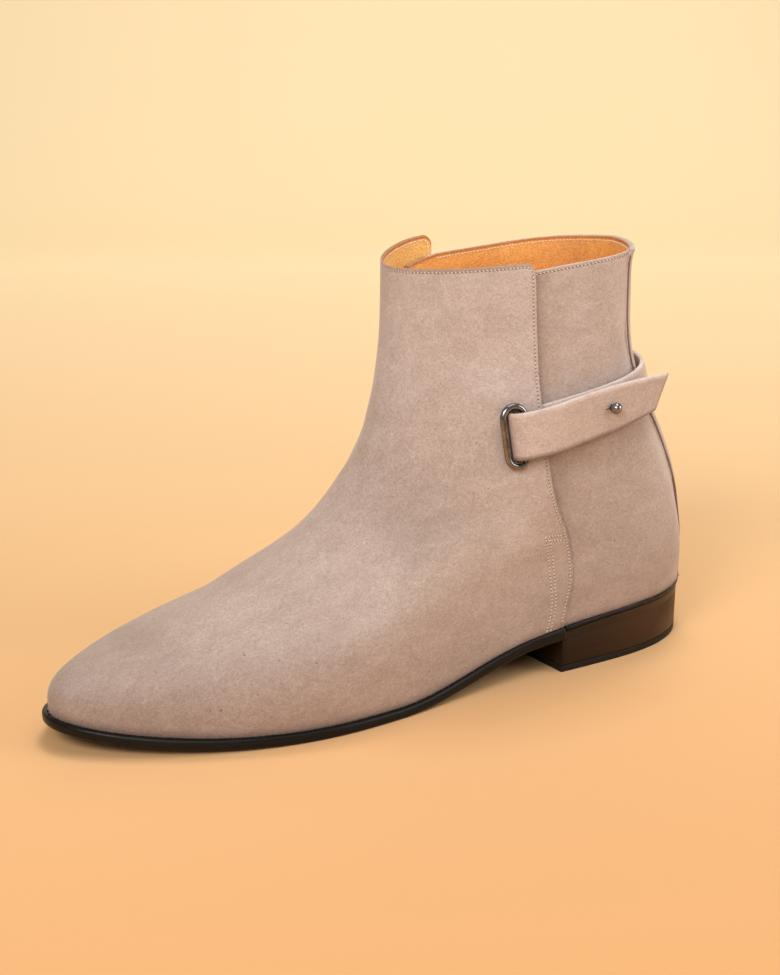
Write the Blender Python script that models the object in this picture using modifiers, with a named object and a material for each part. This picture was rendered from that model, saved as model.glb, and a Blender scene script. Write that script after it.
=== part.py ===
"""Strap ankle boot, left foot. Toe at -Y, lateral side at +X, standing on the floor at Z = 0.

Tables and sizes are in millimetres. Along the boot, places are counted from the heel towards the toe.
"""

import math

import bmesh
import bpy
import numpy as np
from mathutils import Matrix, Vector

MM = 0.001

# Place of the shared origin, counted from the heel and from the middle of the last
ORIGIN_FROM_HEEL = 144.25
ORIGIN_ACROSS = 1.3

# Thicknesses and clearances
WALL = 2.2
GAP = 0.3
SOLE_THICK = 4.4
INSOLE_THICK = 2.4
INSOLE_GAP = 0.7
STRAP_THICK = 1.8
STRAP_WIDE = 18.6
VAMP_STEP = 1.5
VAMP_STEP_LENGTH = 45.0
VAMP_CORNER_RADIUS = 4.5

# Sections of the last from the feather line to the collar. Each ring leans from its back point to its
# front point, and its half widths stand at fixed shares of its length.
RING_COLUMNS = ("back", "back_z", "front", "front_z", "heel", "waist", "ball", "toe", "swing")
RINGS = np.array((
    (-2.4, 23.6, 288.5, 12.1, 31.0, 31.0, 41.0, 30.5, 1.0),
    (-1.7, 42.0, 287.0, 21.8, 33.0, 32.5, 44.5, 31.0, 1.0),
    (0.7, 57.0, 274.5, 29.7, 32.4, 33.3, 43.5, 28.5, 0.9),
    (3.0, 70.0, 250.5, 34.5, 30.3, 34.4, 39.4, 25.0, 0.8),
    (7.7, 84.5, 220.0, 46.0, 27.8, 35.0, 36.8, 22.5, 0.6),
    (15.0, 98.5, 188.0, 61.2, 25.8, 35.2, 35.0, 21.0, 0.4),
    (23.0, 112.7, 162.0, 86.8, 23.7, 34.9, 34.2, 20.5, 0.2),
    (29.6, 129.4, 149.5, 112.8, 22.9, 34.2, 33.2, 21.0, 0.1),
    (32.4, 149.0, 145.0, 139.5, 23.4, 32.9, 32.5, 21.6, 0.0),
    (33.3, 172.0, 144.0, 161.5, 24.5, 32.0, 32.1, 21.9, 0.0),
))
# Stations along a ring: share of its length, and how far the foot's curve carries its middle outwards
STATIONS = (
    ("back", 0.0, 0.0),
    ("heel", 0.10, 0.0),
    ("waist", 0.39, 5.0),
    ("ball", 0.67, 2.4),
    ("toe", 0.90, -5.0),
    ("front", 1.0, -5.0),
)
# Spacing of the stations round half a ring
STATION_STEPS = (6.2, 8.7, 8.7, 8.1, 6.3)
FOLLOW_SOLE_ROWS = 3.0

# Line of a sole of even thickness: place from the heel, height, slope. The ball stands flat on the floor.
SOLE_LINE = np.array((
    (-3.0, 19.2, -0.012),
    (80.5, 15.9, -0.117),
    (104.0, 12.3, -0.225),
    (166.0, 0.0, 0.0),
    (192.0, 0.0, 0.0),
    (288.5, 7.7, 0.187),
    (294.0, 8.8, 0.20),
))
# How far the outsole is thicker under the heel seat and the waist, by place from the heel
SOLE_EXTRA = np.array((
    (-3.0, 1.8),
    (84.0, 1.8),
    (100.0, 0.8),
    (130.0, 0.6),
    (166.0, 0.0),
))
# How far the outsole stands out beyond the upper, by place from the heel
SOLE_LEDGE = np.array((
    (0.0, 0.0),
    (60.0, 0.5),
    (84.0, 1.2),
    (140.0, 1.8),
    (200.0, 2.3),
    (288.0, 2.4),
))
# Outsole edge from bottom to top: share of the thickness, inset, then both round the heel seat, where the
# edge steps in to make room for the rand
SOLE_EDGE = (
    (0.0, 0.7, 0.0, 0.7),
    (0.2, 0.1, 0.15, 0.1),
    (0.75, 0.0, 0.58, 0.0),
    (0.85, 0.15, 0.62, 2.0),
    (1.0, 0.6, 1.0, 2.0),
)

HEEL_BREAST = 82.8
HEEL_CAP_THICK = 2.8
HEEL_TAPER_SIDE = 0.3
HEEL_TAPER_BACK = 0.2
# Shares of the taper reached at the block's foot and at the cap's top
BLOCK_FOOT_TAPER = 0.85
CAP_TOP_TAPER = 0.87
RAND_TALL = 1.85
RAND_DEEP = 1.65
RAND_FRONT = 80.5
# Where the outsole's edge steps out again before the rand, and the length of that step
SEAT_FRONT = 81.0
SEAT_STEP = 0.8

# Rear edge of the vamp: height, place from the heel
VAMP_EDGE = np.array((
    (12.0, 83.0),
    (24.0, 82.3),
    (31.0, 81.3),
    (38.0, 80.2),
    (45.0, 80.0),
    (53.0, 81.4),
    (61.0, 84.2),
    (68.0, 88.0),
    (77.0, 92.2),
    (88.0, 95.0),
    (103.0, 97.4),
    (118.0, 98.4),
    (142.0, 99.2),
    (180.0, 100.4),
))
# How far forward of that the edge lies on each side
VAMP_EDGE_SHIFT = {1: 0.0, -1: 1.8}
# Collar heights: quarter at the back and at the vamp, vamp at the front and at its two rear corners
QUARTER_BACK_TOP = 172.5
QUARTER_FRONT_TOP = 166.5
VAMP_FRONT_TOP = 168.0
VAMP_CORNER_TOP = {1: 170.3, -1: 174.0}

# Swelling of the vamp over the strap: side, place, half length, height, half height, amount
SWELLS = (
    (1, 104.0, 10.0, 104.0, 13.0, 2.65),
    (-1, 100.0, 6.0, 106.0, 12.0, 1.3),
)
SWELL_FADE_LENGTH = 24.0
SWELL_FADE_HEIGHT = 20.0

# Strap's under layer, from the medial vamp edge round the back to the slot: turn round the ankle
# (0 at the back, lateral positive, one whole turn = 1), height of its middle, space behind its lower edge
# and its upper edge
STRAP_TRACK = np.array((
    (-0.256, 106.5, 0.7, 0.7),
    (-0.20, 108.2, 0.9, 0.9),
    (-0.14, 110.2, 0.9, 1.2),
    (-0.07, 112.6, 0.8, 2.0),
    (0.0, 113.9, 0.7, 2.9),
    (0.07, 112.7, 0.7, 2.0),
    (0.14, 110.2, 0.8, 1.2),
    (0.20, 107.8, 0.8, 0.8),
    (0.26, 105.3, 0.5, 0.5),
    (0.295, 104.0, 0.5, 0.5),
    (0.32, 103.2, 0.5, 0.5),
))
SLOT_FROM_HEEL = 110.0
SLOT_HEIGHT = 103.9
POCKET_FLOOR = 0.15
POCKET_ROOF = 2.65
POCKET_SIDE_GAP = 0.7
POCKET_LENGTH = 20.0
POCKET_PAST_SLOT = 0.1
RING_WIDE = 12.0
RING_TALL = 26.5
RING_WIRE = 2.6
SLOT_WIDE = 7.4
SLOT_TALL = 20.6
SLOT_DEEP = 6.0
FOLD_AHEAD = 2.2
FOLD_RUN_IN = 1.0
# Strap's outer layer, counted backwards from the fold: way along, space over the under layer, drop, width
STRAP_RETURN = np.array((
    (0.0, 5.15, 0.0, 18.6),
    (6.0, 5.1, 0.1, 18.8),
    (14.0, 4.0, 0.1, 19.2),
    (24.0, 2.2, 0.1, 19.4),
    (36.0, 1.3, 0.1, 19.2),
    (48.0, 1.3, 0.2, 18.6),
    (82.0, 1.3, 1.2, 12.8),
))
# How far the outer layer stands up from its own lean towards the vertical, and the way it takes to do so
UPRIGHT_SHARE = 0.5
UPRIGHT_WAY = 20.0
STUD_ALONG = 46.0
STUD_UP = 1.0
TIP_LENGTH = 32.0
TIP_SLANT = 9.5
STUD_BALL = 4.7
STUD_NECK = 2.4
STUD_FLANGE = 6.4
STUD_FLANGE_THICK = 0.7
STUD_STANDS = 2.6
STUD_HOLE = 3.4
# Reach of the stud hole's cutter behind and before the outer layer's middle
STUD_HOLE_BEHIND = 1.35
STUD_HOLE_BEFORE = 2.7

# Colour, roughness and metal share of each finish
FINISHES = {
    "suede": ((0.45, 0.32, 0.25), 0.95, 0.0),
    "lining": ((0.72, 0.36, 0.09), 0.6, 0.0),
    "sole_edge": ((0.012, 0.010, 0.009), 0.35, 0.0),
    "heel_stack": ((0.014, 0.010, 0.008), 0.3, 0.0),
    "rubber": ((0.012, 0.012, 0.012), 0.6, 0.0),
    "gunmetal": ((0.22, 0.22, 0.23), 0.25, 1.0),
}

# How finely the pieces are faceted. The spread draws the vamp's columns together at its edge.
QUARTER_COLUMNS = 16
VAMP_COLUMNS = 26
VAMP_COLUMN_SPREAD = 1.5
UPPER_ROWS = 20
SOLE_HALF = 44
HEEL_HALF = 16
STRAP_STEPS = 60
FOLD_STEPS = 8
RETURN_STEPS = 16
TIP_STEPS = 4
STUD_STEPS = 20
SLOT_STEPS = 8
RING_STEPS = 12
RING_WIRE_STEPS = 3
MERGE_WITHIN = 0.00001

# Steps, samples and rounds of the searches on the last
SLOPE_STEP = 0.02
LEVEL_ROWS = 0.8
TURN_SAMPLES = 200
ROW_SAMPLES = 300
ROWS_ABOVE_TOP = 0.7
SEARCH_ROUNDS = 8

STATION_SHARES = np.array([row[1] for row in STATIONS])
STATION_SWING = np.array([row[2] for row in STATIONS])
KNOTS = np.concatenate(([0.0], np.cumsum(STATION_STEPS + STATION_STEPS[::-1])))
WHOLE_TURN = KNOTS[-1]
HALF_TURN = WHOLE_TURN / 2
TOP_ROW = len(RINGS) - 1


def spline_bends(spacing, closed):
    """Matrix that turns the values of a cubic spline into its second derivatives."""
    count = len(spacing) + (0 if closed else 1)
    left = np.zeros((count, count))
    right = np.zeros((count, count))
    for k in range(count):
        if not closed and k in (0, count - 1):
            left[k, k] = 1.0
            continue
        before = spacing[k - 1]
        after = spacing[k]
        previous = (k - 1) % count
        following = (k + 1) % count
        left[k, previous] += before
        left[k, k] += 2 * (before + after)
        left[k, following] += after
        right[k, previous] += 6 / before
        right[k, k] -= 6 / before + 6 / after
        right[k, following] += 6 / after
    return np.linalg.solve(left, right)


ROUND_BENDS = spline_bends(np.diff(KNOTS), True)
ROW_BENDS = spline_bends(np.ones(TOP_ROW), False)


def spline_piece(start, end, bend_start, bend_end, to_end, from_start, width):
    cubic = (bend_start * to_end**3 + bend_end * from_start**3) / (6 * width)
    line = (start / width - bend_start * width / 6) * to_end
    return cubic + line + (end / width - bend_end * width / 6) * from_start


def table_curve(table, wanted):
    """Smooth curve through the rows of a table: first column the place, second the value."""
    places = table[:, 0]
    values = table[:, 1]
    bends = spline_bends(np.diff(places), False) @ values
    wanted = np.clip(wanted, places[0], places[-1])
    k = np.clip(np.searchsorted(places, wanted, side="right") - 1, 0, len(places) - 2)
    width = places[k + 1] - places[k]
    return spline_piece(
        values[k], values[k + 1], bends[k], bends[k + 1], places[k + 1] - wanted, wanted - places[k], width
    )


def sole_height(place):
    """Height of the even sole's underside, by cubic pieces with the slopes in SOLE_LINE."""
    rows = SOLE_LINE
    place = np.clip(place, rows[0, 0], rows[-1, 0])
    k = np.clip(np.searchsorted(rows[:, 0], place, side="right") - 1, 0, len(rows) - 2)
    width = rows[k + 1, 0] - rows[k, 0]
    t = (place - rows[k, 0]) / width
    start = (1 + 2 * t) * (1 - t) ** 2 * rows[k, 1] + t * (1 - t) ** 2 * width * rows[k, 2]
    return start + t * t * (3 - 2 * t) * rows[k + 1, 1] + t * t * (t - 1) * width * rows[k + 1, 2]


def sole_bottom(place):
    """Height of the outsole's real underside."""
    return sole_height(place) - np.interp(place, SOLE_EXTRA[:, 0], SOLE_EXTRA[:, 1])


def soft_step(t):
    t = np.clip(t, 0.0, 1.0)
    return t * t * (3 - 2 * t)


def last(turn, row):
    """Points of the last. turn runs round a ring from the back, lateral side first. row numbers the rings."""
    turn, row = np.broadcast_arrays(np.asarray(turn, float), np.asarray(row, float))
    shape = turn.shape
    turn = turn.ravel() % WHOLE_TURN
    row = row.ravel()
    bends = ROW_BENDS @ RINGS
    k = np.clip(np.floor(row).astype(int), 0, TOP_ROW - 1)
    past = (row - k)[:, None]
    values = spline_piece(RINGS[k], RINGS[k + 1], bends[k], bends[k + 1], 1 - past, past, 1.0)
    ring = dict(zip(RING_COLUMNS, values.T))
    length = ring["front"] - ring["back"]
    middle = STATION_SWING[None, :] * ring["swing"][:, None]
    nothing = np.zeros_like(row)
    half = np.stack((nothing, ring["heel"], ring["waist"], ring["ball"], ring["toe"], nothing), 1)
    place = ring["back"][:, None] + STATION_SHARES[None, :] * length[:, None]
    across = np.concatenate((middle + half, (middle - half)[:, 4:0:-1]), 1)
    along = np.concatenate((place, place[:, 4:0:-1]), 1)
    k = np.clip(np.searchsorted(KNOTS, turn, side="right") - 1, 0, len(KNOTS) - 2)
    following = (k + 1) % across.shape[1]
    width = KNOTS[k + 1] - KNOTS[k]
    n = np.arange(len(turn))
    found = []
    for station in (across, along):
        bends = station @ ROUND_BENDS.T
        found.append(
            spline_piece(
                station[n, k],
                station[n, following],
                bends[n, k],
                bends[n, following],
                KNOTS[k + 1] - turn,
                turn - KNOTS[k],
                width,
            )
        )
    x, s = found
    share = (s - ring["back"]) / length
    follow = soft_step(1 - row / FOLLOW_SOLE_ROWS)
    first, final = RINGS[0, 0], RINGS[0, 2]
    ends = RINGS[0, 1] + (RINGS[0, 3] - RINGS[0, 1]) * np.clip((s - first) / (final - first), 0, 1)
    bottom = sole_height(s) + SOLE_THICK
    z = ring["back_z"] + (ring["front_z"] - ring["back_z"]) * share + follow * (bottom - ends)
    return np.stack((x, s, z), 1).reshape(shape + (3,))


def outward(turn, row):
    """Unit normals of the last, pointing out of the boot. Close to the sole they turn level."""
    turn = np.asarray(turn, float)
    row = np.asarray(row, float)
    round_way = last(turn + SLOPE_STEP, row) - last(turn - SLOPE_STEP, row)
    up_way = last(turn, row + SLOPE_STEP) - last(turn, np.maximum(row - SLOPE_STEP, 0.0))
    normal = np.cross(round_way, up_way)
    normal[..., 2] *= 1 - soft_step(1 - row / LEVEL_ROWS)
    return unit(normal)


def turn_at_place(side, place, row):
    """Turn where a ring's lateral (1) or medial (-1) half reaches a place from the heel."""
    turns = np.linspace(0.0, HALF_TURN, TURN_SAMPLES) * side
    return np.interp(place, last(turns, row)[:, 1], turns)


def row_at_height(turn, height):
    rows = np.linspace(0.0, TOP_ROW + ROWS_ABOVE_TOP, ROW_SAMPLES)
    return np.interp(height, last(np.full_like(rows, turn), rows)[:, 2], rows)


def vamp_edge_turn(side, row):
    """Turn of the vamp's rear edge on one ring."""
    turn = side * HALF_TURN / 2
    for _ in range(SEARCH_ROUNDS):
        height = last(turn, row)[2]
        turn = turn_at_place(side, table_curve(VAMP_EDGE, height) + VAMP_EDGE_SHIFT[side], row)
    return turn


def swell(side, points):
    """How far the vamp is pushed out where the strap lies beneath it."""
    amount = np.zeros(points.shape[:-1])
    for swell_side, place, half_length, height, half_height, size in SWELLS:
        if swell_side != side:
            continue
        along = soft_step(1 - (np.abs(points[..., 1] - place) - half_length) / SWELL_FADE_LENGTH)
        up = soft_step(1 - (np.abs(points[..., 2] - height) - half_height) / SWELL_FADE_HEIGHT)
        amount += size * along * up
    return amount


def collar_height(side, on_vamp, share, from_edge):
    """Height of the collar. share runs from the vamp edge to the front, or from the back to the edge."""
    if not on_vamp:
        return QUARTER_BACK_TOP + (QUARTER_FRONT_TOP - QUARTER_BACK_TOP) * share
    top = VAMP_FRONT_TOP + (VAMP_CORNER_TOP[side] - VAMP_FRONT_TOP) * soft_step(1 - share)
    inside = max(0.0, VAMP_CORNER_RADIUS - from_edge)
    drop = VAMP_CORNER_RADIUS - math.sqrt(VAMP_CORNER_RADIUS**2 - inside**2)
    return max(top - drop, QUARTER_FRONT_TOP)


def to_world(points):
    """Millimetres counted from the heel to metres round the shared origin."""
    points = np.asarray(points, float)
    x = points[..., 0] - ORIGIN_ACROSS
    y = ORIGIN_FROM_HEEL - points[..., 1]
    return np.stack((x, y, points[..., 2]), -1) * MM


def collection_named(name):
    made = bpy.data.collections.new(name)
    bpy.context.scene.collection.children.link(made)
    return made


def mesh_object(name, points, faces, where):
    """Closed mesh from points in millimetres, faces turned outwards."""
    mesh = bpy.data.meshes.new(name)
    mesh.from_pydata([tuple(p) for p in to_world(points)], [], faces)
    shape = bmesh.new()
    shape.from_mesh(mesh)
    bmesh.ops.recalc_face_normals(shape, faces=shape.faces)
    shape.to_mesh(mesh)
    shape.free()
    made = bpy.data.objects.new(name, mesh)
    where.objects.link(made)
    return made


def give_material(made, color, roughness, metallic):
    material = bpy.data.materials.new(made.name + "_finish")
    material.use_nodes = True
    shader = material.node_tree.nodes["Principled BSDF"]
    shader.inputs["Base Color"].default_value = (*color, 1.0)
    shader.inputs["Roughness"].default_value = roughness
    shader.inputs["Metallic"].default_value = metallic
    made.data.materials.append(material)


def cut_away(made, cutter, name):
    cut = made.modifiers.new(name, "BOOLEAN")
    cut.operation = "DIFFERENCE"
    cut.solver = "EXACT"
    cut.object = cutter
    cutter.hide_render = True
    cutter.display_type = "WIRE"


def half_upper(side):
    """Columns of one half from the back to the front, each a pair of outer points and inner points."""
    edge_rows = np.linspace(0.0, TOP_ROW, UPPER_ROWS)
    edge_turns = np.array([vamp_edge_turn(side, row) for row in edge_rows])
    edge_top = last(edge_turns[-1], TOP_ROW)
    plan = [(False, j / QUARTER_COLUMNS) for j in range(QUARTER_COLUMNS + 1)]
    plan += [(True, (j / VAMP_COLUMNS) ** VAMP_COLUMN_SPREAD) for j in range(VAMP_COLUMNS + 1)]
    columns = []
    for on_vamp, share in plan:
        top_turn = edge_turns[-1] * share
        if on_vamp:
            top_turn = edge_turns[-1] + (side * HALF_TURN - edge_turns[-1]) * share
        from_edge = float(np.linalg.norm(last(top_turn, TOP_ROW) - edge_top))
        rim = row_at_height(top_turn, collar_height(side, on_vamp, share, from_edge))
        rows = rim * np.linspace(0.0, 1.0, UPPER_ROWS)
        edges = np.interp(rows, edge_rows, edge_turns)
        turns = edges * share
        if on_vamp:
            turns = edges + (side * HALF_TURN - edges) * share
        points = last(turns, rows)
        normals = outward(turns, rows)
        proud = np.zeros(UPPER_ROWS)
        if on_vamp:
            distance = np.linalg.norm(points - last(edges, rows), axis=1)
            proud = VAMP_STEP * soft_step(1 - distance / VAMP_STEP_LENGTH) + swell(side, points)
        columns.append((points + normals * proud[:, None], points - normals * WALL))
    return columns


def make_upper(where):
    """One hollow shell, open at the collar and underneath, with the vamp standing over the quarter."""
    lateral = half_upper(1)
    medial = half_upper(-1)
    around = lateral + medial[-2:0:-1]
    # Inside there is no step, so at each vamp edge two outer columns share one inner column
    lateral_edge = QUARTER_COLUMNS + 1
    medial_edge = len(around) - lateral_edge
    outer = [column[0] for column in around]
    inner = [column[1] for i, column in enumerate(around) if i not in (lateral_edge, medial_edge)]
    inner_of = [i - (i >= lateral_edge) - (i > medial_edge) for i in range(len(around))]
    points = np.concatenate(outer + inner)
    rows = UPPER_ROWS
    base = len(outer) * rows
    faces = []
    for i in range(len(outer)):
        j = (i + 1) % len(outer)
        for k in range(rows - 1):
            faces.append((i * rows + k, j * rows + k, j * rows + k + 1, i * rows + k + 1))
    for i in range(len(inner)):
        j = (i + 1) % len(inner)
        for k in range(rows - 1):
            a = base + i * rows + k
            b = base + j * rows + k
            faces.append((a, a + 1, b + 1, b))
    for i in range(len(outer)):
        j = (i + 1) % len(outer)
        a = base + inner_of[i] * rows
        b = base + inner_of[j] * rows
        for level in (0, rows - 1):
            corners = [i * rows + level, j * rows + level, b + level, a + level]
            if a == b:
                corners.pop()
            faces.append(tuple(corners))
    return mesh_object("upper", points, faces, where)


def plan_turns():
    """Turns round the feather line from the back, lateral side first, with a close pair before the rand."""
    halves = []
    for side in (1, -1):
        step = [turn_at_place(side, place, 0.0) for place in (SEAT_FRONT, SEAT_FRONT + SEAT_STEP)]
        even = np.linspace(0.0, HALF_TURN, SOLE_HALF + 1)
        halves.append(side * np.sort(np.concatenate((even, np.abs(step)))))
    return np.concatenate((halves[0], halves[1][-2:0:-1]))


def plan_ring(turns, out):
    """Plan outline of the feather line moved outwards."""
    points = last(turns, 0.0)
    normals = outward(turns, 0.0)
    return points[:, :2] + normals[:, :2] * np.reshape(out, (-1, 1))


def ledge(place):
    return np.interp(place, SOLE_LEDGE[:, 0], SOLE_LEDGE[:, 1])


def ring_stack(name, rings, where):
    """Closed solid from stacked outlines with strips across its lowest and highest one."""
    count = len(rings[0])
    half = count // 2
    points = np.concatenate(rings)
    faces = []
    for low in range(0, (len(rings) - 1) * count, count):
        high = low + count
        for i in range(count):
            j = (i + 1) % count
            faces.append((low + i, low + j, high + j, high + i))
    for base in (0, (len(rings) - 1) * count):
        for i in range(half):
            corners = (i, i + 1, (count - i - 1) % count, (count - i) % count)
            faces.append(tuple(base + c for c in dict.fromkeys(corners)))
    return mesh_object(name, points, faces, where)


def make_outsole(where):
    turns = plan_turns()
    places = last(turns, 0.0)[:, 1]
    seat = places < SEAT_FRONT + SEAT_STEP / 2
    rings = []
    for share, inset, seat_share, seat_inset in SOLE_EDGE:
        outline = plan_ring(turns, ledge(places) - np.where(seat, seat_inset, inset))
        low = sole_bottom(outline[:, 1])
        thick = sole_height(outline[:, 1]) + SOLE_THICK - GAP - low
        rings.append(np.column_stack((outline, low + np.where(seat, seat_share, share) * thick)))
    return ring_stack("outsole", rings, where)


def make_insole(where):
    outline = plan_ring(plan_turns(), -(WALL + INSOLE_GAP))
    floor = sole_height(outline[:, 1]) + SOLE_THICK
    rings = [np.column_stack((outline, floor + up)) for up in (0.0, INSOLE_THICK)]
    return ring_stack("insole", rings, where)


def heel_outline(taper):
    """Outline of the heel from the lateral breast corner round the back, drawn in by a share of its taper."""
    inset = SOLE_EDGE[0][1]
    sides = []
    for side in (1, -1):
        last_turn = turn_at_place(side, HEEL_BREAST, 0.0)
        turns = np.linspace(0.0, last_turn, HEEL_HALF + 1)
        points = last(turns, 0.0)[:, :2]
        normals = outward(turns, 0.0)[:, :2]
        points = points + normals * (ledge(points[:, 1]) - inset)[:, None]
        points[-1, 1] = HEEL_BREAST
        draw = np.stack(
            (normals[:, 0] * HEEL_TAPER_SIDE, np.minimum(normals[:, 1], 0.0) * HEEL_TAPER_BACK), 1
        )
        sides.append(points - draw * taper)
    return sides[0], sides[1]


def heel_solid(name, levels, where):
    """Heel lift from levels of (taper share, height function)."""
    points = []
    for taper, height in levels:
        lateral, medial = heel_outline(taper)
        outline = np.concatenate((lateral, medial[:0:-1]))
        points.append(np.column_stack((outline, height(outline[:, 1]))))
    count = len(points[0])
    faces = []
    for low in range(0, (len(levels) - 1) * count, count):
        high = low + count
        for i in range(count):
            j = (i + 1) % count
            faces.append((low + i, low + j, high + j, high + i))
    for base in (0, (len(levels) - 1) * count):
        for i in range(HEEL_HALF):
            corners = (i, i + 1, count - i - 1, (count - i) % count)
            faces.append(tuple(base + c for c in dict.fromkeys(corners)))
    return mesh_object(name, np.concatenate(points), faces, where)


def flat_at(height):
    return lambda place: np.full_like(place, height)


def under_sole(place):
    return sole_bottom(place) - GAP


def make_heel(where):
    foot = flat_at(HEEL_CAP_THICK + GAP)
    block = heel_solid("heel", ((BLOCK_FOOT_TAPER, foot), (0.0, under_sole)), where)
    cap_levels = ((1.0, flat_at(0.0)), (CAP_TOP_TAPER, flat_at(HEEL_CAP_THICK)))
    return block, heel_solid("heel_cap", cap_levels, where)


def make_rand(where):
    """Strip round the heel seat, lying in the step of the outsole's edge under the upper."""
    start = turn_at_place(-1, RAND_FRONT, 0.0)
    end = turn_at_place(1, RAND_FRONT, 0.0)
    turns = np.linspace(start, end, 2 * HEEL_HALF + 1)
    feather = last(turns, 0.0)
    face = ledge(feather[:, 1])
    sections = []
    for down, behind in ((RAND_TALL, RAND_DEEP), (RAND_TALL, 0.0), (0.0, 0.0), (0.0, RAND_DEEP)):
        section = feather + outward(turns, np.zeros_like(turns)) * (face - behind)[:, None]
        section[:, 2] -= GAP + down
        sections.append(section)
    return loft_sections("heel_rand", np.stack(sections, 1), where)


def loft_sections(name, sections, where):
    """Closed solid through sections of equal corner counts, with flat ends."""
    steps, corners = sections.shape[:2]
    faces = []
    for here in range(0, (steps - 1) * corners, corners):
        there = here + corners
        for c in range(corners):
            d = (c + 1) % corners
            faces.append((here + c, here + d, there + d, there + c))
    faces.append(tuple(range(corners)))
    faces.append(tuple((steps - 1) * corners + c for c in range(corners)))
    return mesh_object(name, sections.reshape(-1, 3), faces, where)


def unit(vector):
    return vector / np.linalg.norm(vector, axis=-1, keepdims=True)


def strap_frames():
    """Middle line of the strap's under layer with its run, width and outward directions."""
    track = STRAP_TRACK
    numbers = np.arange(len(track), dtype=float)
    wanted = np.linspace(0.0, len(track) - 1.0, STRAP_STEPS)
    shares, heights, low_space, high_space = (
        table_curve(np.column_stack((numbers, track[:, c])), wanted) for c in range(4)
    )
    turns = shares * WHOLE_TURN
    half = STRAP_WIDE / 2
    lines = []
    for from_middle, space in ((-half, low_space), (0.0, low_space), (half, high_space)):
        rows = np.array([row_at_height(t, h + from_middle) for t, h in zip(turns, heights)])
        normals = outward(turns, rows)
        lines.append((last(turns, rows) + normals * space[:, None], normals))
    (low, _), (middle, normals), (high, _) = lines
    width = unit(high - low)
    seat = (low + high) / 2
    lift = np.maximum(((middle - seat) * normals).sum(1), 0.0)
    seat = seat + normals * lift[:, None]
    run = unit(np.gradient(seat, axis=0))
    width = unit(width - run * (width * run).sum(1)[:, None])
    out = np.cross(width, run)
    out = out * np.sign((out * normals).sum(1))[:, None]
    return seat, run, width, out


def strap_slab(seat, width, out, low, high, wide):
    """Four corners of the strap's section at each frame, between two heights over its seat."""
    half = np.reshape(wide, (-1, 1)) / 2
    return np.stack(
        (
            seat - width * half + out * low,
            seat + width * half + out * low,
            seat + width * half + out * high,
            seat - width * half + out * high,
        ),
        1,
    )


def slot_frame():
    """Middle of the slot on the quarter's surface, and its forward, upward and outward directions."""
    row = TOP_ROW / 2
    for _ in range(SEARCH_ROUNDS):
        turn = turn_at_place(1, SLOT_FROM_HEEL, row)
        row = row_at_height(turn, SLOT_HEIGHT)
    middle = last(turn, row)
    normal = outward(turn, row)
    seat, run, _, _ = strap_frames()
    nearest = np.linalg.norm(seat - middle, axis=1).argmin()
    forward = unit(run[nearest] - normal * (run[nearest] @ normal))
    up = np.cross(normal, forward)
    return middle, forward, up * np.sign(up[2]), normal


def return_layer(seat, width, out, fold_way):
    """Middle line of the strap's outer layer from the fold back to the tip, with its directions."""
    way = np.concatenate(([0.0], np.cumsum(np.linalg.norm(np.diff(seat, axis=0), axis=1))))
    lengths = np.linspace(0.0, STUD_ALONG, RETURN_STEPS + 1)
    space = table_curve(STRAP_RETURN[:, (0, 1)], lengths)
    drop = table_curve(STRAP_RETURN[:, (0, 2)], lengths)
    base, across, face = (
        np.stack([np.interp(fold_way - lengths, way, values[:, c]) for c in range(3)], 1)
        for values in (seat, width, out)
    )
    across = unit(across)
    face = unit(face)
    lift = STRAP_THICK + space + STRAP_THICK / 2
    low_edge = base + face * lift[:, None] - across * (drop + STRAP_WIDE / 2)[:, None]
    stand_up = UPRIGHT_SHARE * soft_step(lengths / UPRIGHT_WAY)[:, None]
    across = unit(across * (1 - stand_up) + np.array((0.0, 0.0, 1.0)) * stand_up)
    middle = low_edge + across * STRAP_WIDE / 2
    ahead = unit(middle[-1] - middle[-3])
    for k in range(1, TIP_STEPS + 1):
        past_stud = TIP_LENGTH * k / TIP_STEPS
        lengths = np.append(lengths, STUD_ALONG + past_stud)
        middle = np.vstack((middle, middle[RETURN_STEPS] + ahead * past_stud))
        across = np.vstack((across, across[RETURN_STEPS]))
        face = np.vstack((face, face[RETURN_STEPS]))
    run = unit(np.gradient(middle, axis=0))
    across = unit(across - run * (across * run).sum(1)[:, None])
    inside = np.cross(across, run)
    inside = inside * np.sign(-(inside * face).sum(1))[:, None]
    wide = table_curve(STRAP_RETURN[:, (0, 3)], lengths)
    return middle, across, inside, wide


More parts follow.
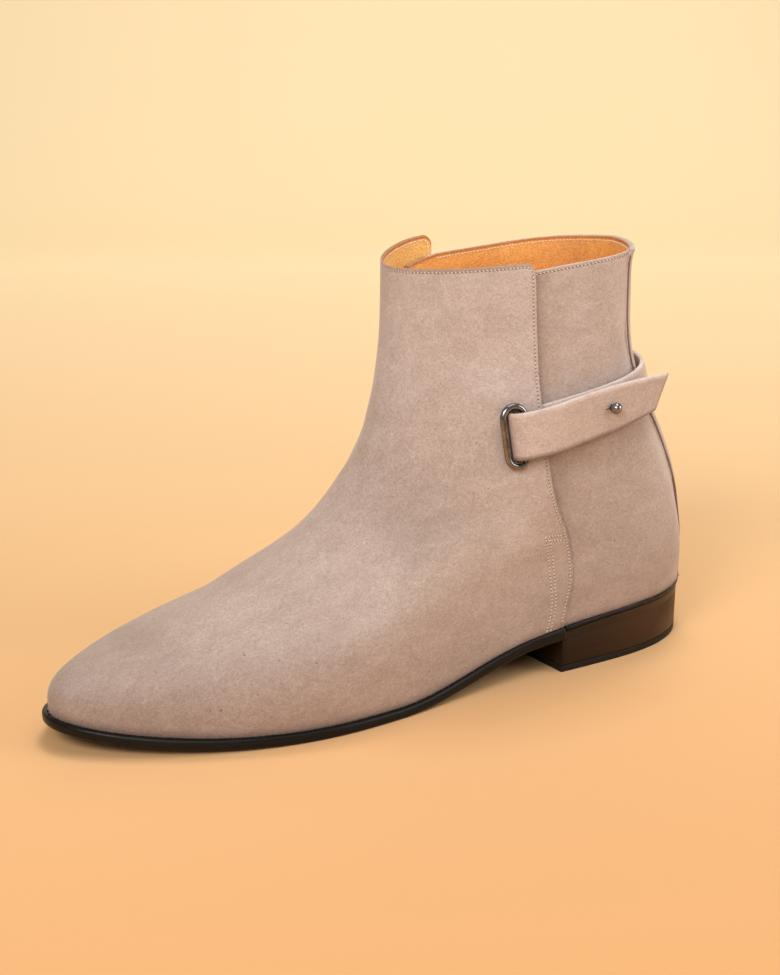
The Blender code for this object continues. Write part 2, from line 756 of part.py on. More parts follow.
def strap_layers():
    """Sections of the whole strap, and the frame where the stud goes through its outer layer."""
    middle, forward, up, normal = slot_frame()
    seat, _, width, out = strap_frames()
    fold_at = FOLD_AHEAD - (RING_WIDE - RING_WIRE) / 2
    ahead = (seat - middle) @ forward
    lateral = np.arange(len(seat)) > len(seat) // 2
    way = np.concatenate(([0.0], np.cumsum(np.linalg.norm(np.diff(seat, axis=0), axis=1))))
    fold_way = np.interp(fold_at, ahead[lateral], way[lateral])
    keep = way < fold_way - FOLD_RUN_IN
    half = STRAP_THICK / 2
    under = strap_slab(seat[keep], width[keep], out[keep], 0.0, STRAP_THICK, STRAP_WIDE)
    line, across, inside, wide = return_layer(seat, width, out, fold_way)
    low = np.array([np.interp(fold_way, way, seat[:, c]) for c in range(3)]) + normal * half
    rise = (line[0] - low) @ normal
    ways = []
    for k in range(FOLD_STEPS):
        angle = math.pi * k / FOLD_STEPS
        share = (1 - math.cos(angle)) / 2
        centre = low + (line[0] - low) * share + forward * math.sin(angle) * rise / 2
        ways.append((centre, up, normal * math.cos(angle) - forward * math.sin(angle), STRAP_WIDE))
    ways += list(zip(line, across, inside, wide))
    centres, acrosses, insides, widths = (np.array(column) for column in zip(*ways))
    folded = strap_slab(centres, acrosses, insides, -half, half, widths)
    back = unit(line[-2] - line[-1])
    for k in range(TIP_STEPS):
        shift = back * TIP_SLANT * (1 - k / TIP_STEPS)
        folded[-1 - k, 0] += shift
        folded[-1 - k, 3] += shift
    at_stud = RETURN_STEPS - 1
    stud_middle = line[at_stud] + across[at_stud] * STUD_UP
    return np.concatenate((under, folded)), (stud_middle, across[at_stud], -inside[at_stud])


def stadium(wide, tall, steps):
    """Outline of a slot with round ends: (forward, up) pairs."""
    radius = wide / 2
    straight = tall / 2 - radius
    outline = []
    for k in range(steps + 1):
        angle = math.pi * k / steps
        outline.append((radius * math.cos(angle), straight + radius * math.sin(angle)))
    for k in range(steps + 1):
        angle = math.pi + math.pi * k / steps
        outline.append((radius * math.cos(angle), -straight + radius * math.sin(angle)))
    return np.array(outline)


def cut_slot(upper, tools):
    """Space for the strap between vamp and quarter, and the slot through the vamp."""
    middle, forward, up, normal = slot_frame()
    seat, _, width, out = strap_frames()
    ahead = (seat - middle) @ forward
    keep = (ahead > -POCKET_LENGTH) & (ahead < SLOT_WIDE / 2 + POCKET_PAST_SLOT)
    keep &= np.arange(len(seat)) > len(seat) // 2
    behind = STRAP_TRACK[-1, 2]
    sections = strap_slab(
        seat[keep],
        width[keep],
        out[keep],
        POCKET_FLOOR - behind,
        POCKET_ROOF - behind,
        STRAP_WIDE + 2 * POCKET_SIDE_GAP,
    )
    pocket = loft_sections("strap_pocket", sections, tools)
    outline = stadium(SLOT_WIDE, SLOT_TALL, SLOT_STEPS)
    levels = []
    for level in (POCKET_FLOOR + GAP, SLOT_DEEP):
        levels.append(middle + outline[:, :1] * forward + outline[:, 1:] * up + normal * level)
    slot = loft_sections("strap_slot", np.array(levels), tools)
    cut_away(upper, pocket, "pocket")
    cut_away(upper, slot, "slot")


def make_strap(where, tools):
    """One solid, with a hole in its outer layer for the stud."""
    sections, (centre, across, face) = strap_layers()
    strap = loft_sections("strap", sections, where)
    side = np.cross(face, across)
    angles = np.linspace(0.0, 2 * math.pi, STUD_STEPS, endpoint=False)
    circle = (np.cos(angles)[:, None] * across + np.sin(angles)[:, None] * side) * STUD_HOLE / 2
    levels = [centre + circle + face * level for level in (-STUD_HOLE_BEHIND, STUD_HOLE_BEFORE)]
    cut_away(strap, loft_sections("stud_hole", np.array(levels), tools), "stud_hole")
    return strap


def make_slot_eyelet(where):
    """Oblong ring of round wire lying on the vamp round the slot."""
    middle, forward, up, normal = slot_frame()
    over = POCKET_ROOF + VAMP_STEP + GAP + RING_WIRE / 2
    outline = stadium(RING_WIDE - RING_WIRE, RING_TALL - RING_WIRE, RING_STEPS)
    points = to_world(middle + outline[:, :1] * forward + outline[:, 1:] * up + normal * over)
    curve = bpy.data.curves.new("slot_eyelet", "CURVE")
    curve.dimensions = "3D"
    curve.bevel_depth = RING_WIRE / 2 * MM
    curve.bevel_resolution = RING_WIRE_STEPS
    path = curve.splines.new("POLY")
    path.points.add(len(points) - 1)
    for spot, point in zip(path.points, points):
        spot.co = (*point, 1.0)
    path.use_cyclic_u = True
    made = bpy.data.objects.new("slot_eyelet", curve)
    where.objects.link(made)
    return made


def make_stud(where):
    """Turned ball stud: flange between the strap's layers, neck through the hole, ball outside."""
    _, (centre, across, face) = strap_layers()
    foot = -STRAP_THICK / 2 - GAP - STUD_FLANGE_THICK
    ball_middle = STRAP_THICK / 2 + STUD_STANDS
    ball = STUD_BALL / 2
    meet = math.asin(STUD_NECK / 2 / ball)
    profile = [(0.0, foot), (STUD_FLANGE / 2, foot), (STUD_FLANGE / 2, foot + STUD_FLANGE_THICK)]
    profile.append((STUD_NECK / 2, foot + STUD_FLANGE_THICK))
    for k in range(STUD_STEPS // 2 + 1):
        angle = meet + (math.pi - meet) * k / (STUD_STEPS // 2)
        profile.append((ball * math.sin(angle), ball_middle - ball * math.cos(angle)))
    profile[-1] = (0.0, ball_middle + ball)
    mesh = bpy.data.meshes.new("stud")
    edges = [(k, k + 1) for k in range(len(profile) - 1)]
    mesh.from_pydata([(r * MM, 0.0, z * MM) for r, z in profile], edges, [])
    made = bpy.data.objects.new("stud", mesh)
    where.objects.link(made)
    turned = made.modifiers.new("turned", "SCREW")
    turned.steps = STUD_STEPS
    turned.render_steps = STUD_STEPS
    turned.use_merge_vertices = True
    turned.merge_threshold = MERGE_WITHIN
    turned.use_normal_flip = True
    flip = np.array((1.0, -1.0, 1.0))
    axis = Vector(face * flip)
    sideways = Vector(across * flip)
    turn = Matrix((sideways, axis.cross(sideways), axis)).transposed().to_4x4()
    made.matrix_world = Matrix.Translation(Vector(to_world(centre))) @ turn
    return made


def main():
    for made in list(bpy.data.objects):
        bpy.data.objects.remove(made, do_unlink=True)
    boot = collection_named("strap_ankle_boot")
    tools = collection_named("cutters")
    upper = make_upper(boot)
    cut_slot(upper, tools)
    block, cap = make_heel(boot)
    pieces = (
        (upper, "suede"),
        (make_insole(boot), "lining"),
        (make_outsole(boot), "sole_edge"),
        (make_rand(boot), "sole_edge"),
        (block, "heel_stack"),
        (cap, "rubber"),
        (make_strap(boot, tools), "suede"),
        (make_slot_eyelet(boot), "gunmetal"),
        (make_stud(boot), "gunmetal"),
    )
    for made, finish in pieces:
        give_material(made, *FINISHES[finish])


main()
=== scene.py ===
"""Looks of the strap ankle boot, left foot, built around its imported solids.

Tables and sizes are in millimetres. Places along the boot are counted from the heel towards the toe.
"""

import math

import bmesh
import bpy
import numpy as np
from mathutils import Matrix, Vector, noise


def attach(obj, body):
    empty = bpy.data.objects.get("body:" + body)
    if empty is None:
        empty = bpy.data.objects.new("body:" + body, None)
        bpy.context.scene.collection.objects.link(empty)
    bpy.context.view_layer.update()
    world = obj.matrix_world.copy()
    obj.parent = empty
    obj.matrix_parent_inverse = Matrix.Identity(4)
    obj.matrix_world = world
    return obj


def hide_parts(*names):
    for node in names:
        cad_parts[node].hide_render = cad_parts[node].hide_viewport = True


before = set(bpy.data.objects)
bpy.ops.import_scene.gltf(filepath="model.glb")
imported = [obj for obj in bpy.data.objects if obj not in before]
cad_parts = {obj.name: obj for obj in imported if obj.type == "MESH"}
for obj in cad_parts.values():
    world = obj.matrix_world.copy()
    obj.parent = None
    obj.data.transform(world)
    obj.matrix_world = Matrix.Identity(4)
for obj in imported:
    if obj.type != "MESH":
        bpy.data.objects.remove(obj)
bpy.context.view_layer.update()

MM = 0.001

# Place of the shared origin, counted from the heel and from the middle of the last
ORIGIN_FROM_HEEL = 144.25
ORIGIN_ACROSS = 1.3

# Thicknesses and clearances, as in the solids
WALL = 2.2
GAP = 0.3
SOLE_THICK = 4.4
INSOLE_THICK = 2.4
INSOLE_GAP = 0.7
STRAP_THICK = 1.8
STRAP_WIDE = 18.6
VAMP_STEP = 1.5
VAMP_STEP_LENGTH = 45.0
VAMP_CORNER_RADIUS = 4.5
# Height under which stitching presses the vamp's edge flat, the share of its step that this takes away, and
# the way down to that share
LOW_EDGE_TOP = 66.0
LOW_EDGE_FLAT = 0.6
LOW_EDGE_RUN = 16.0

# Sections of the last from the feather line to the collar. Each ring leans from its back point to its
# front point, and its half widths stand at fixed shares of its length.
RING_COLUMNS = ("back", "back_z", "front", "front_z", "heel", "waist", "ball", "toe", "swing")
RINGS = np.array((
    (-2.4, 23.6, 288.5, 12.1, 31.0, 31.0, 41.0, 30.5, 1.0),
    (-1.7, 42.0, 287.0, 21.8, 33.0, 32.5, 44.5, 31.0, 1.0),
    (0.7, 57.0, 274.5, 29.7, 32.4, 33.3, 43.5, 28.5, 0.9),
    (3.0, 70.0, 250.5, 34.5, 30.3, 34.4, 39.4, 25.0, 0.8),
    (7.7, 84.5, 220.0, 46.0, 27.8, 35.0, 36.8, 22.5, 0.6),
    (15.0, 98.5, 188.0, 61.2, 25.8, 35.2, 35.0, 21.0, 0.4),
    (23.0, 112.7, 162.0, 86.8, 23.7, 34.9, 34.2, 20.5, 0.2),
    (29.6, 129.4, 149.5, 112.8, 22.9, 34.2, 33.2, 21.0, 0.1),
    (32.4, 149.0, 145.0, 139.5, 23.4, 32.9, 32.5, 21.6, 0.0),
    (33.3, 172.0, 144.0, 161.5, 24.5, 32.0, 32.1, 21.9, 0.0),
))
# Stations along a ring: share of its length, and how far the foot's curve carries its middle outwards
STATIONS = (
    ("back", 0.0, 0.0),
    ("heel", 0.10, 0.0),
    ("waist", 0.39, 5.0),
    ("ball", 0.67, 2.4),
    ("toe", 0.90, -5.0),
    ("front", 1.0, -5.0),
)
STATION_STEPS = (6.2, 8.7, 8.7, 8.1, 6.3)
FOLLOW_SOLE_ROWS = 3.0

# Line of a sole of even thickness: place from the heel, height, slope
SOLE_LINE = np.array((
    (-3.0, 19.2, -0.012),
    (80.5, 15.9, -0.117),
    (104.0, 12.3, -0.225),
    (166.0, 0.0, 0.0),
    (192.0, 0.0, 0.0),
    (288.5, 7.7, 0.187),
    (294.0, 8.8, 0.20),
))
# How far the outsole is thicker under the heel seat and the waist, by place from the heel
SOLE_EXTRA = np.array((
    (-3.0, 1.8),
    (84.0, 1.8),
    (100.0, 0.8),
    (130.0, 0.6),
    (166.0, 0.0),
))
# How far the outsole stands out beyond the upper, by place from the heel
SOLE_LEDGE = np.array((
    (0.0, 0.0),
    (60.0, 0.5),
    (84.0, 1.2),
    (140.0, 1.8),
    (200.0, 2.3),
    (288.0, 2.4),
))
# Outsole edge from bottom to top: share of the thickness, inset, then both round the heel seat, where the
# edge steps in to make room for the rand
SOLE_EDGE = (
    (0.0, 0.9, 0.0, 0.72),
    (0.06, 0.45, 0.05, 0.7),
    (0.16, 0.15, 0.15, 0.66),
    (0.35, 0.02, 0.3, 0.6),
    (0.6, 0.0, 0.45, 0.54),
    (0.74, 0.03, 0.55, 0.5),
    (0.83, 0.14, 0.585, 0.55),
    (0.9, 0.32, 0.6, 0.8),
    (0.96, 0.6, 0.615, 1.4),
    (1.0, 1.1, 0.62, 2.0),
    (1.0, 1.7, 1.0, 2.0),
)

# Heel block and cap: place of the breast, thickness of the cap, how far they draw in towards the floor, inset
# under the sole, gap to the sole, shares of the draw-in where they meet, roundness of the edges
HEEL_BREAST = 82.8
HEEL_CAP_THICK = 2.8
HEEL_TAPER_SIDE = 0.3
HEEL_TAPER_BACK = 0.2
HEEL_INSET = 0.7
HEEL_SEAT_GAP = 0.04
BLOCK_FOOT_TAPER = 0.85
CAP_TOP_TAPER = 0.87
HEEL_SOFT_EDGE = 0.25
CAP_SOFT_EDGE = 0.4
# Rand: height, depth, front ends
RAND_TALL = 1.85
RAND_DEEP = 1.65
RAND_FRONT = 81.2
# Section of the rand round its outer face: share of its height down from the top, depth behind the face
RAND_SECTION = (
    (1.0, RAND_DEEP),
    (1.0, 0.4),
    (0.92, 0.12),
    (0.6, -0.05),
    (0.3, 0.0),
    (0.08, 0.2),
    (0.0, 0.5),
    (0.0, RAND_DEEP),
)
# Edge of the sock over the insole: height, inset. Then the rise of its middle.
SOCK_EDGE = ((0.0, 0.2), (1.6, 0.0), (2.1, 0.25), (INSOLE_THICK, 0.9))
SOCK_CROWN = 0.5
# Front end of the outsole's seat, and the length of the step in its edge there
SEAT_FRONT = 81.0
SEAT_STEP = 0.8

# Rear edge of the vamp: height, place from the heel
VAMP_EDGE = np.array((
    (12.0, 83.0),
    (24.0, 82.3),
    (31.0, 81.3),
    (38.0, 80.2),
    (45.0, 80.0),
    (53.0, 81.4),
    (61.0, 84.2),
    (68.0, 88.0),
    (77.0, 92.2),
    (88.0, 95.0),
    (103.0, 97.4),
    (118.0, 98.4),
    (142.0, 99.2),
    (180.0, 100.4),
))
# Shift of that edge towards the toe on the lateral (1) and medial (-1) side
VAMP_EDGE_SHIFT = {1: 0.0, -1: 1.8}
# Heights of the collar: quarter at its back and its front ends, vamp at its front and its rear corners
QUARTER_BACK_TOP = 172.5
QUARTER_FRONT_TOP = 166.5
VAMP_FRONT_TOP = 168.0
VAMP_CORNER_TOP = {1: 170.3, -1: 174.0}

# Swelling of the vamp over the strap: side, place, half length, height, half height, amount
SWELLS = (
    (1, 104.0, 10.0, 104.0, 13.0, 2.65),
    (-1, 100.0, 6.0, 106.0, 12.0, 1.3),
)
SWELL_FADE_LENGTH = 24.0
SWELL_FADE_HEIGHT = 20.0

# Strap's under layer: turn round the ankle (0 at the back, lateral positive), height, space behind its
# lower edge and its upper edge. It runs on under the vamp's medial edge, where the solid one stops.
STRAP_TRACK = np.array((
    (-0.275, 105.9, 0.7, 0.7),
    (-0.20, 108.2, 0.9, 0.9),
    (-0.14, 110.2, 0.9, 1.2),
    (-0.07, 112.6, 0.8, 2.0),
    (0.0, 113.9, 0.7, 2.9),
    (0.07, 112.7, 0.7, 2.0),
    (0.14, 110.2, 0.8, 1.2),
    (0.20, 107.8, 0.8, 0.8),
    (0.26, 105.3, 0.5, 0.5),
    (0.295, 104.0, 0.5, 0.5),
    (0.32, 103.2, 0.5, 0.5),
))
# Slot and its ring: place and height of their middle, strap's pocket under the vamp, sizes
SLOT_FROM_HEEL = 110.0
SLOT_HEIGHT = 103.9
POCKET_FLOOR = 0.15
POCKET_ROOF = 2.65
RING_WIDE = 12.0
RING_TALL = 26.5
RING_WIRE = 2.6
SLOT_WIDE = 7.4
SLOT_TALL = 20.6
SLOT_DEEP = 6.0
# Fold of the strap: way before the ring's rear wire, and how far before the fold the under layer ends
FOLD_AHEAD = 2.2
FOLD_RUN_IN = 1.0
# Strap's outer layer, counted backwards from the fold: way along, space over the under layer, drop, width
STRAP_RETURN = np.array((
    (0.0, 5.15, 0.0, 18.6),
    (6.0, 5.1, 0.1, 18.8),
    (14.0, 4.0, 0.1, 19.2),
    (24.0, 2.2, 0.1, 19.4),
    (36.0, 1.3, 0.1, 19.2),
    (48.0, 1.3, 0.2, 18.6),
    (82.0, 1.3, 1.2, 12.8),
))
# Share by which the outer layer stands upright, and the way from the fold to it
UPRIGHT_SHARE = 0.5
UPRIGHT_WAY = 20.0
# Straight end of the strap: way from the fold to its start, length, slant of the cut
STUD_ALONG = 46.0
TIP_LENGTH = 32.0
TIP_SLANT = 9.5
# Stud: height over the strap's middle line, diameters and thickness, stand of the ball's middle
STUD_UP = 1.0
STUD_BALL = 4.7
STUD_NECK = 2.4
STUD_FLANGE = 6.4
STUD_FLANGE_THICK = 0.7
STUD_STANDS = 2.6
# Share of the ring's wire that is left where it lies on the vamp
RING_FLAT = 0.85
# Slit that lets the ball through the strap: length before the stud, half width, how much wider it is at the
# stud, radius of the hole, half angle of the hole's mouth, depth in the strap, stand over it
SLIT_LONG = 3.6
SLIT_HALF = 0.3
SLIT_FLARE = 1.5
SLIT_HOLE = 1.5
SLIT_MOUTH = 0.35
SLIT_SINK = 0.05
SLIT_STAND = 0.04
# The slit's outline past the hole: share of its length, side
SLIT_OUTLINE = ((0.55, -1), (0.8, -1), (1.0, 0), (0.8, 1), (0.55, 1))

# Layers of the wall: the lining's share, the least that the suede keeps, how they thin out below the rim,
# and how far the quarter goes on under the vamp
LINING_THICK = 0.55
LEAST_SUEDE = 0.25
LAYER_GAP = 0.1
LINING_INSET = 0.15
RIM_WALL = 1.25
SKIVE_LENGTH = 8.0
VAMP_EDGE_WALL = 1.4
QUARTER_UNDERLAP = 16.0
QUARTER_UNDERLAP_FALL = 3.5
# How far the vamp's free edge stands off: amount, length it fades over, heights between which it begins
EDGE_LIFT = 1.9
EDGE_LIFT_LENGTH = 26.0
EDGE_LIFT_FROM = 58.0
EDGE_LIFT_FULL = 80.0
# Back strip: height and half width, then its thickness, its stand over the rim, its depth in the quarter and
# how round its edges are
BACK_STRIP_HALF = np.array((
    (10.0, 13.0),
    (40.0, 14.0),
    (60.0, 17.0),
    (70.0, 20.0),
    (82.0, 21.5),
    (100.0, 21.0),
    (130.0, 25.0),
    (150.0, 28.0),
    (176.0, 30.5),
))
BACK_STRIP_THICK = 1.3
BACK_STRIP_STAND = 0.2
BACK_STRIP_SINK = 0.1
BACK_STRIP_ROUND = 0.3
# The quarter is let in under the back strip: depth, length of the run-out beside it, fade below the rim
BACK_RECESS = (0.95, 10.0, 9.0)
# Bead beside the back strip: radius, lift, heights, share of the radius at its foot and the way to the whole
PIPING_RADIUS = 0.38
PIPING_LIFT = 0.12
PIPING_FROM = 58.0
PIPING_TO = 170.0
PIPING_FOOT = 0.1
PIPING_GROWS = 12.0

# Seams: distance from the edge, depth and half width of the trough that the thread pulls
SEAM_INSET = 1.2
LINING_SEAM_INSET = 1.7
SEAM_DEPTH = 0.24
SEAM_HALF = 0.75
# Soft creases of the suede: turn (whole turn = 1), height, half length, half width, lean, depth
CREASES = (
    (0.50, 92.0, 20.0, 5.0, 0.0, 0.55),
    (0.50, 106.0, 17.0, 5.0, 0.1, 0.40),
    (0.44, 98.0, 16.0, 5.5, 0.5, 0.35),
    (0.56, 99.0, 16.0, 5.5, -0.5, 0.35),
    (0.17, 88.0, 16.0, 6.0, -0.2, 0.45),
    (-0.17, 88.0, 16.0, 6.0, 0.2, 0.45),
    (0.10, 132.0, 15.0, 7.0, 0.6, 0.35),
    (0.355, 40.0, 22.0, 7.0, -0.5, 0.30),
    (0.645, 40.0, 22.0, 7.0, 0.5, 0.30),
)
CREASE_RIDGE = 1.5
UNEVEN_WAVE = 16.0
UNEVEN_DEPTH = 0.16

# Tones of suede and lining, from 1 for dark to -1 for pale. Besides the leather's own tones they carry
# painted light and shade. A row of three has the amount, the place where it begins to rise or fall, and the
# way that this takes.
# Painted shade, darker towards the sole
LOW_SHADE = (0.22, 0.0, 55.0)
FEATHER_TONE = (0.5, 0.0, 4.0)
# Painted shade, darker towards the toe
TOE_SHADE = (0.22, 180.0, 80.0)
# Painted light, paler towards the collar
COLLAR_LIGHT = (0.72, 80.0, 55.0)
VAMP_RIM_TONE = (0.55, 0.5, 0.8)
QUARTER_RIM_TONE = (1.2, 0.3, 0.5)
# Darker towards the quarter's collar, taking back most of the painted light there
QUARTER_LIGHT_UNDONE = (0.42, 70.0, 55.0)
LINING_RIM_TONE = (0.75, 0.6, 0.7)
# On the strap the way is counted in stations from its tip.
STRAP_TIP_TONE = (0.22, 0.0, 60.0)
# A row of two has the amount and the half width of a bell curve.
STRAP_SHADE = (0.9, 2.6)
EDGE_SHADOW = (0.4, 11.0)
STRIP_SHINE = (0.75, 12.0)
# Share of the edge's shadow that is left near the sole, height where it begins to rise, way up to the whole
SHADOW_LOW = 0.3
SHADOW_FROM = 45.0
SHADOW_RISE = 30.0
# Painted shade in the seams' troughs, by their depth
VAMP_SEAM_SHADE = 0.3
QUARTER_SEAM_SHADE = 0.2
CUT_EDGE_TONE = 0.5
LINING_EDGE_TONE = 0.75
# Cut edge of the quarter along the collar: how far below its front end it begins, tone
COLLAR_CUT_BELOW = 0.8
COLLAR_CUT_TONE = -1.4
# Cut edge of the back strip: how far above the quarter's front end the collar's tone begins, both tones.
# Below the collar the edge is painted dark as shade.
STRIP_CUT_ABOVE = 2.0
STRIP_COLLAR_TONE = -0.6
STRIP_CUT_SHADE = 1.0
# Painted highlight: the bead beside the back strip is pale
PIPING_HIGHLIGHT = -1.0
STRAP_UPPER_EDGE_TONE = -0.8
# Painted shade along the strap's lower edge
STRAP_LOWER_EDGE_SHADE = 1.1
# Painted shade: the loose fibres are darker
FIBRE_SHADE = 0.8
# Painted light on the lining's medial tab, which makes it paler: height where it sets in, way up to the
# whole, way across
TAB_LIGHT_FROM = 146.0
TAB_LIGHT_RISE = 16.0
TAB_LIGHT_ACROSS = 8.0
# Stain of the lining: amount, place across, half width, place from the heel, half length
STAIN = (0.4, -15.0, 7.0, 42.0, 9.0)
# Brown share left at the front of the outsole's seat and of the heel, where painted shade darkens them, and
# the way back to the whole
SEAT_SHADED_BROWN = 0.3
HEEL_SHADED_BROWN = 0.15
FRONT_SHADE_WAY = 60.0
# Patches painted paler or darker, partly painted highlight and shade where the suede's form turns to or from
# the light, such as the pale run from under the ring down towards the ball, partly the nap's own uneven tone:
# place from the heel, height, half length, half height, tone
LIGHT_AND_NAP_PATCHES = (
    (108.0, 86.0, 14.0, 18.0, -0.62),
    (113.0, 60.0, 12.0, 15.0, -0.46),
    (134.0, 43.0, 14.0, 12.0, -0.22),
    (165.0, 35.0, 18.0, 9.0, -0.18),
    (150.0, 74.0, 14.0, 14.0, 0.14),
    (262.0, 16.0, 22.0, 8.0, 0.08),
    (250.0, 33.0, 10.0, 7.0, 0.12),
    (205.0, 50.0, 16.0, 10.0, 0.10),
    (232.0, 45.0, 26.0, 12.0, -0.16),
    (190.0, 32.0, 40.0, 10.0, 0.20),
    (150.0, 92.0, 22.0, 26.0, 0.14),
    (52.0, 70.0, 20.0, 26.0, 0.18),
)

# Threads: pitch along the row, length, radius, flattening, turn off the row. Their holes, dark blobs painted
# as the
# shade in the needle holes: length, radius, depth
EDGE_PITCH = 1.5
COLLAR_PITCH = 1.85
THREAD_LONG = 1.18
THREAD_RADIUS = 0.3
LINING_THREAD_RADIUS = 0.26
THREAD_FLAT = 0.8
THREAD_TWIST = 0.3
HOLE_LONG = 0.72
HOLE_RADIUS = 0.3
HOLE_SINK = 0.06
# Plump thread of half length 1 and radius 1: places along it, radius
THREAD_RINGS = ((-0.92, 0.45), (-0.6, 0.9), (0.0, 1.0), (0.6, 0.9), (0.92, 0.45))
# Rows: depth in the seam's trough, distance apart, start above the sole, height where the lining's row
# starts, how much wider they turn round the vamp's corner
THREAD_SINK = SEAM_DEPTH * 0.8
ROW_APART = 1.9
SEAM_FOOT = 2.0
LINING_SEAM_FOOT = 150.0
CORNER_EASE = 0.8
# Loose fibres along cut edges: length with the shares that it varies between, thickness at the root, lean,
# and how many grow along the strap, each of the vamp's rear edges and the sole
FIBRE_LONG = 1.15
FIBRE_SHARES = (0.35, 1.25)
FIBRE_THICK = 0.2
FIBRE_LEAN = 0.45
STRAP_FIBRES = 1100
EDGE_FIBRES = 400
SOLE_FIBRES = 2200
# Where they grow on the strap: depth in its lower edge, share of its thickness
STRAP_FIBRE_SINK = 0.2
STRAP_FIBRE_SHARE = 0.9
# On the vamp's rear edges: rows left free at both ends, distance to the edge, depth, outward lean
EDGE_FIBRE_FREE = (0.5, 0.3)
EDGE_FIBRE_INSET = 0.3
EDGE_FIBRE_SINK = 0.15
EDGE_FIBRE_LEAN = 0.3
# Along the sole: row of the last, depth, upward lean
SOLE_FIBRE_ROW = 0.02
SOLE_FIBRE_SINK = 0.1
SOLE_FIBRE_LEAN = -0.5
# Stitched box at the foot of the vamp's edge: place from the heel, height, down its front side
BOX_FRONT = np.array((
    (95.6, 61.5),
    (92.6, 52.1),
    (90.6, 39.7),
    (89.8, 31.0),
    (90.3, 24.0),
    (91.2, 18.5),
))
BOX_TOP_REAR = (86.6, 60.4)

# How finely the pieces are meshed
NEAR_DISTANCES = np.concatenate((np.linspace(0.0, 3.0, 10), np.linspace(3.6, 14.0, 15)))
FAR_COLUMNS = 64
QUARTER_COLUMNS = 40
UNDERLAP_COLUMNS = 14
STRIP_COLUMNS = 31
PIPING_STEPS = 120
PIPING_SIDES = 8
RIM_DISTANCES = np.linspace(0.0, 4.0, 13)
LOW_ROWS = 96
EDGE_ROUND_STEPS = 4
EDGE_SAMPLES = 90
SOLE_HALF = 150
SOLE_ACROSS = 10
HEEL_HALF = 44
BEVEL_STEPS = 2
BEVEL_ANGLE = 40
SHARP_ANGLE = 50
STRAP_STEPS = 200
FOLD_STEPS = 24
RETURN_STEPS = 60
STUD_STATION = 56
STRAIGHT_STEPS = 8
TIP_STEPS = 16
STRAP_CORNER = 0.55
STRAP_CORNER_STEPS = 3
STRAP_FACE_STEPS = 11
SHADE_EVERY = 3
RING_STEPS = 28
RING_SIDES = 20
STUD_STEPS = 40
SLOT_STEPS = 16
SLIT_STEPS = 16
THREAD_SIDES = 7
EDGE_PATH_STEPS = 140
CORNER_STEPS = 8
VAMP_COLLAR_STEPS = 60
QUARTER_COLLAR_STEPS = 160
BOX_FRONT_STEPS = 40
BOX_TOP_STEPS = 12

# Steps, samples and rounds of the searches on the last
SLOPE_STEP = 0.02
RISE_STEP = 0.05
LEVEL_ROWS = 0.8
TURN_SAMPLES = 200
ROW_SAMPLES = 300
ROWS_ABOVE_TOP = 0.7
SEARCH_ROUNDS = 8
CLOSE_ROUNDS = 3
# Reach on both sides of a stitch that gives its run, and the slack of places that should be equal
RUN_REACH = 0.2
NEARLY = 0.01

# Camera at the photograph's angle: place, aim, lens for a 36 mm sensor
CAMERA_PLACE = (575.7, -358.75, 265.1)
CAMERA_AIM = (-3.0, 1.65, 79.0)
CAMERA_LENS = 65.0

# Floor and backdrop, in metres: front end, start and radius of the sweep, top, half width
FLOOR_FRONT = -3.0
SWEEP_START = 1.4
SWEEP_RADIUS = 0.8
SWEEP_FIRST_ANGLE = 0.1
SWEEP_STEPS = 14
BACKDROP_TOP = 3.5
FLOOR_HALF = 4.0
# Lights, in metres and watts: name, place, aim, diameter, power, color
BOOT_MIDDLE = (0.0, 0.0, 0.08)
WHITE = (1.0, 1.0, 1.0)
LIGHTS = (
    ("key", (0.75, -1.25, 1.15), BOOT_MIDDLE, 0.6, 13.6, WHITE),
    ("front", (1.05, -0.85, 0.95), BOOT_MIDDLE, 0.8, 9.0, WHITE),
    ("fill", (0.95, 1.1, 0.65), BOOT_MIDDLE, 1.0, 10.0, WHITE),
    ("top", (0.4, 0.15, 1.7), BOOT_MIDDLE, 1.2, 6.8, WHITE),
    ("backdrop", (-0.6, 0.6, 2.6), (-1.7, 1.1, 0.4), 1.0, 35.0, (1.0, 0.98, 0.95)),
)

STATION_SHARES = np.array([row[1] for row in STATIONS])
STATION_SWING = np.array([row[2] for row in STATIONS])
KNOTS = np.concatenate(([0.0], np.cumsum(STATION_STEPS + STATION_STEPS[::-1])))
WHOLE_TURN = KNOTS[-1]
HALF_TURN = WHOLE_TURN / 2
TOP_ROW = len(RINGS) - 1
SIDES = (1, -1)


# Shape of the last

def unit(vector):
    return vector / np.linalg.norm(vector, axis=-1, keepdims=True)


def soft_step(t):
    t = np.clip(t, 0.0, 1.0)
    return t * t * (3 - 2 * t)


def rising(values, amount, start, way):
    """Amount that sets in at the start and is whole after its way."""
    return amount * soft_step((values - start) / way)


def falling(values, amount, start, way):
    """Amount that is whole up to the start and gone after its way."""
    return amount * soft_step(1 - (values - start) / way)


def bell(values, amount, half_width):
    return amount * np.exp(-((values / half_width) ** 2))


def spline_bends(spacing, closed):
    """Matrix that turns the values of a cubic spline into its second derivatives."""
    count = len(spacing) + (0 if closed else 1)
    left = np.zeros((count, count))
    right = np.zeros((count, count))
    for k in range(count):
        if not closed and k in (0, count - 1):
            left[k, k] = 1.0
            continue
        before = spacing[k - 1]
        after = spacing[k]
        previous = (k - 1) % count
        following = (k + 1) % count
        left[k, previous] += before
        left[k, k] += 2 * (before + after)
        left[k, following] += after
        right[k, previous] += 6 / before
        right[k, k] -= 6 / before + 6 / after
        right[k, following] += 6 / after
    return np.linalg.solve(left, right)


ROUND_BENDS = spline_bends(np.diff(KNOTS), True)
ROW_BENDS = spline_bends(np.ones(TOP_ROW), False)


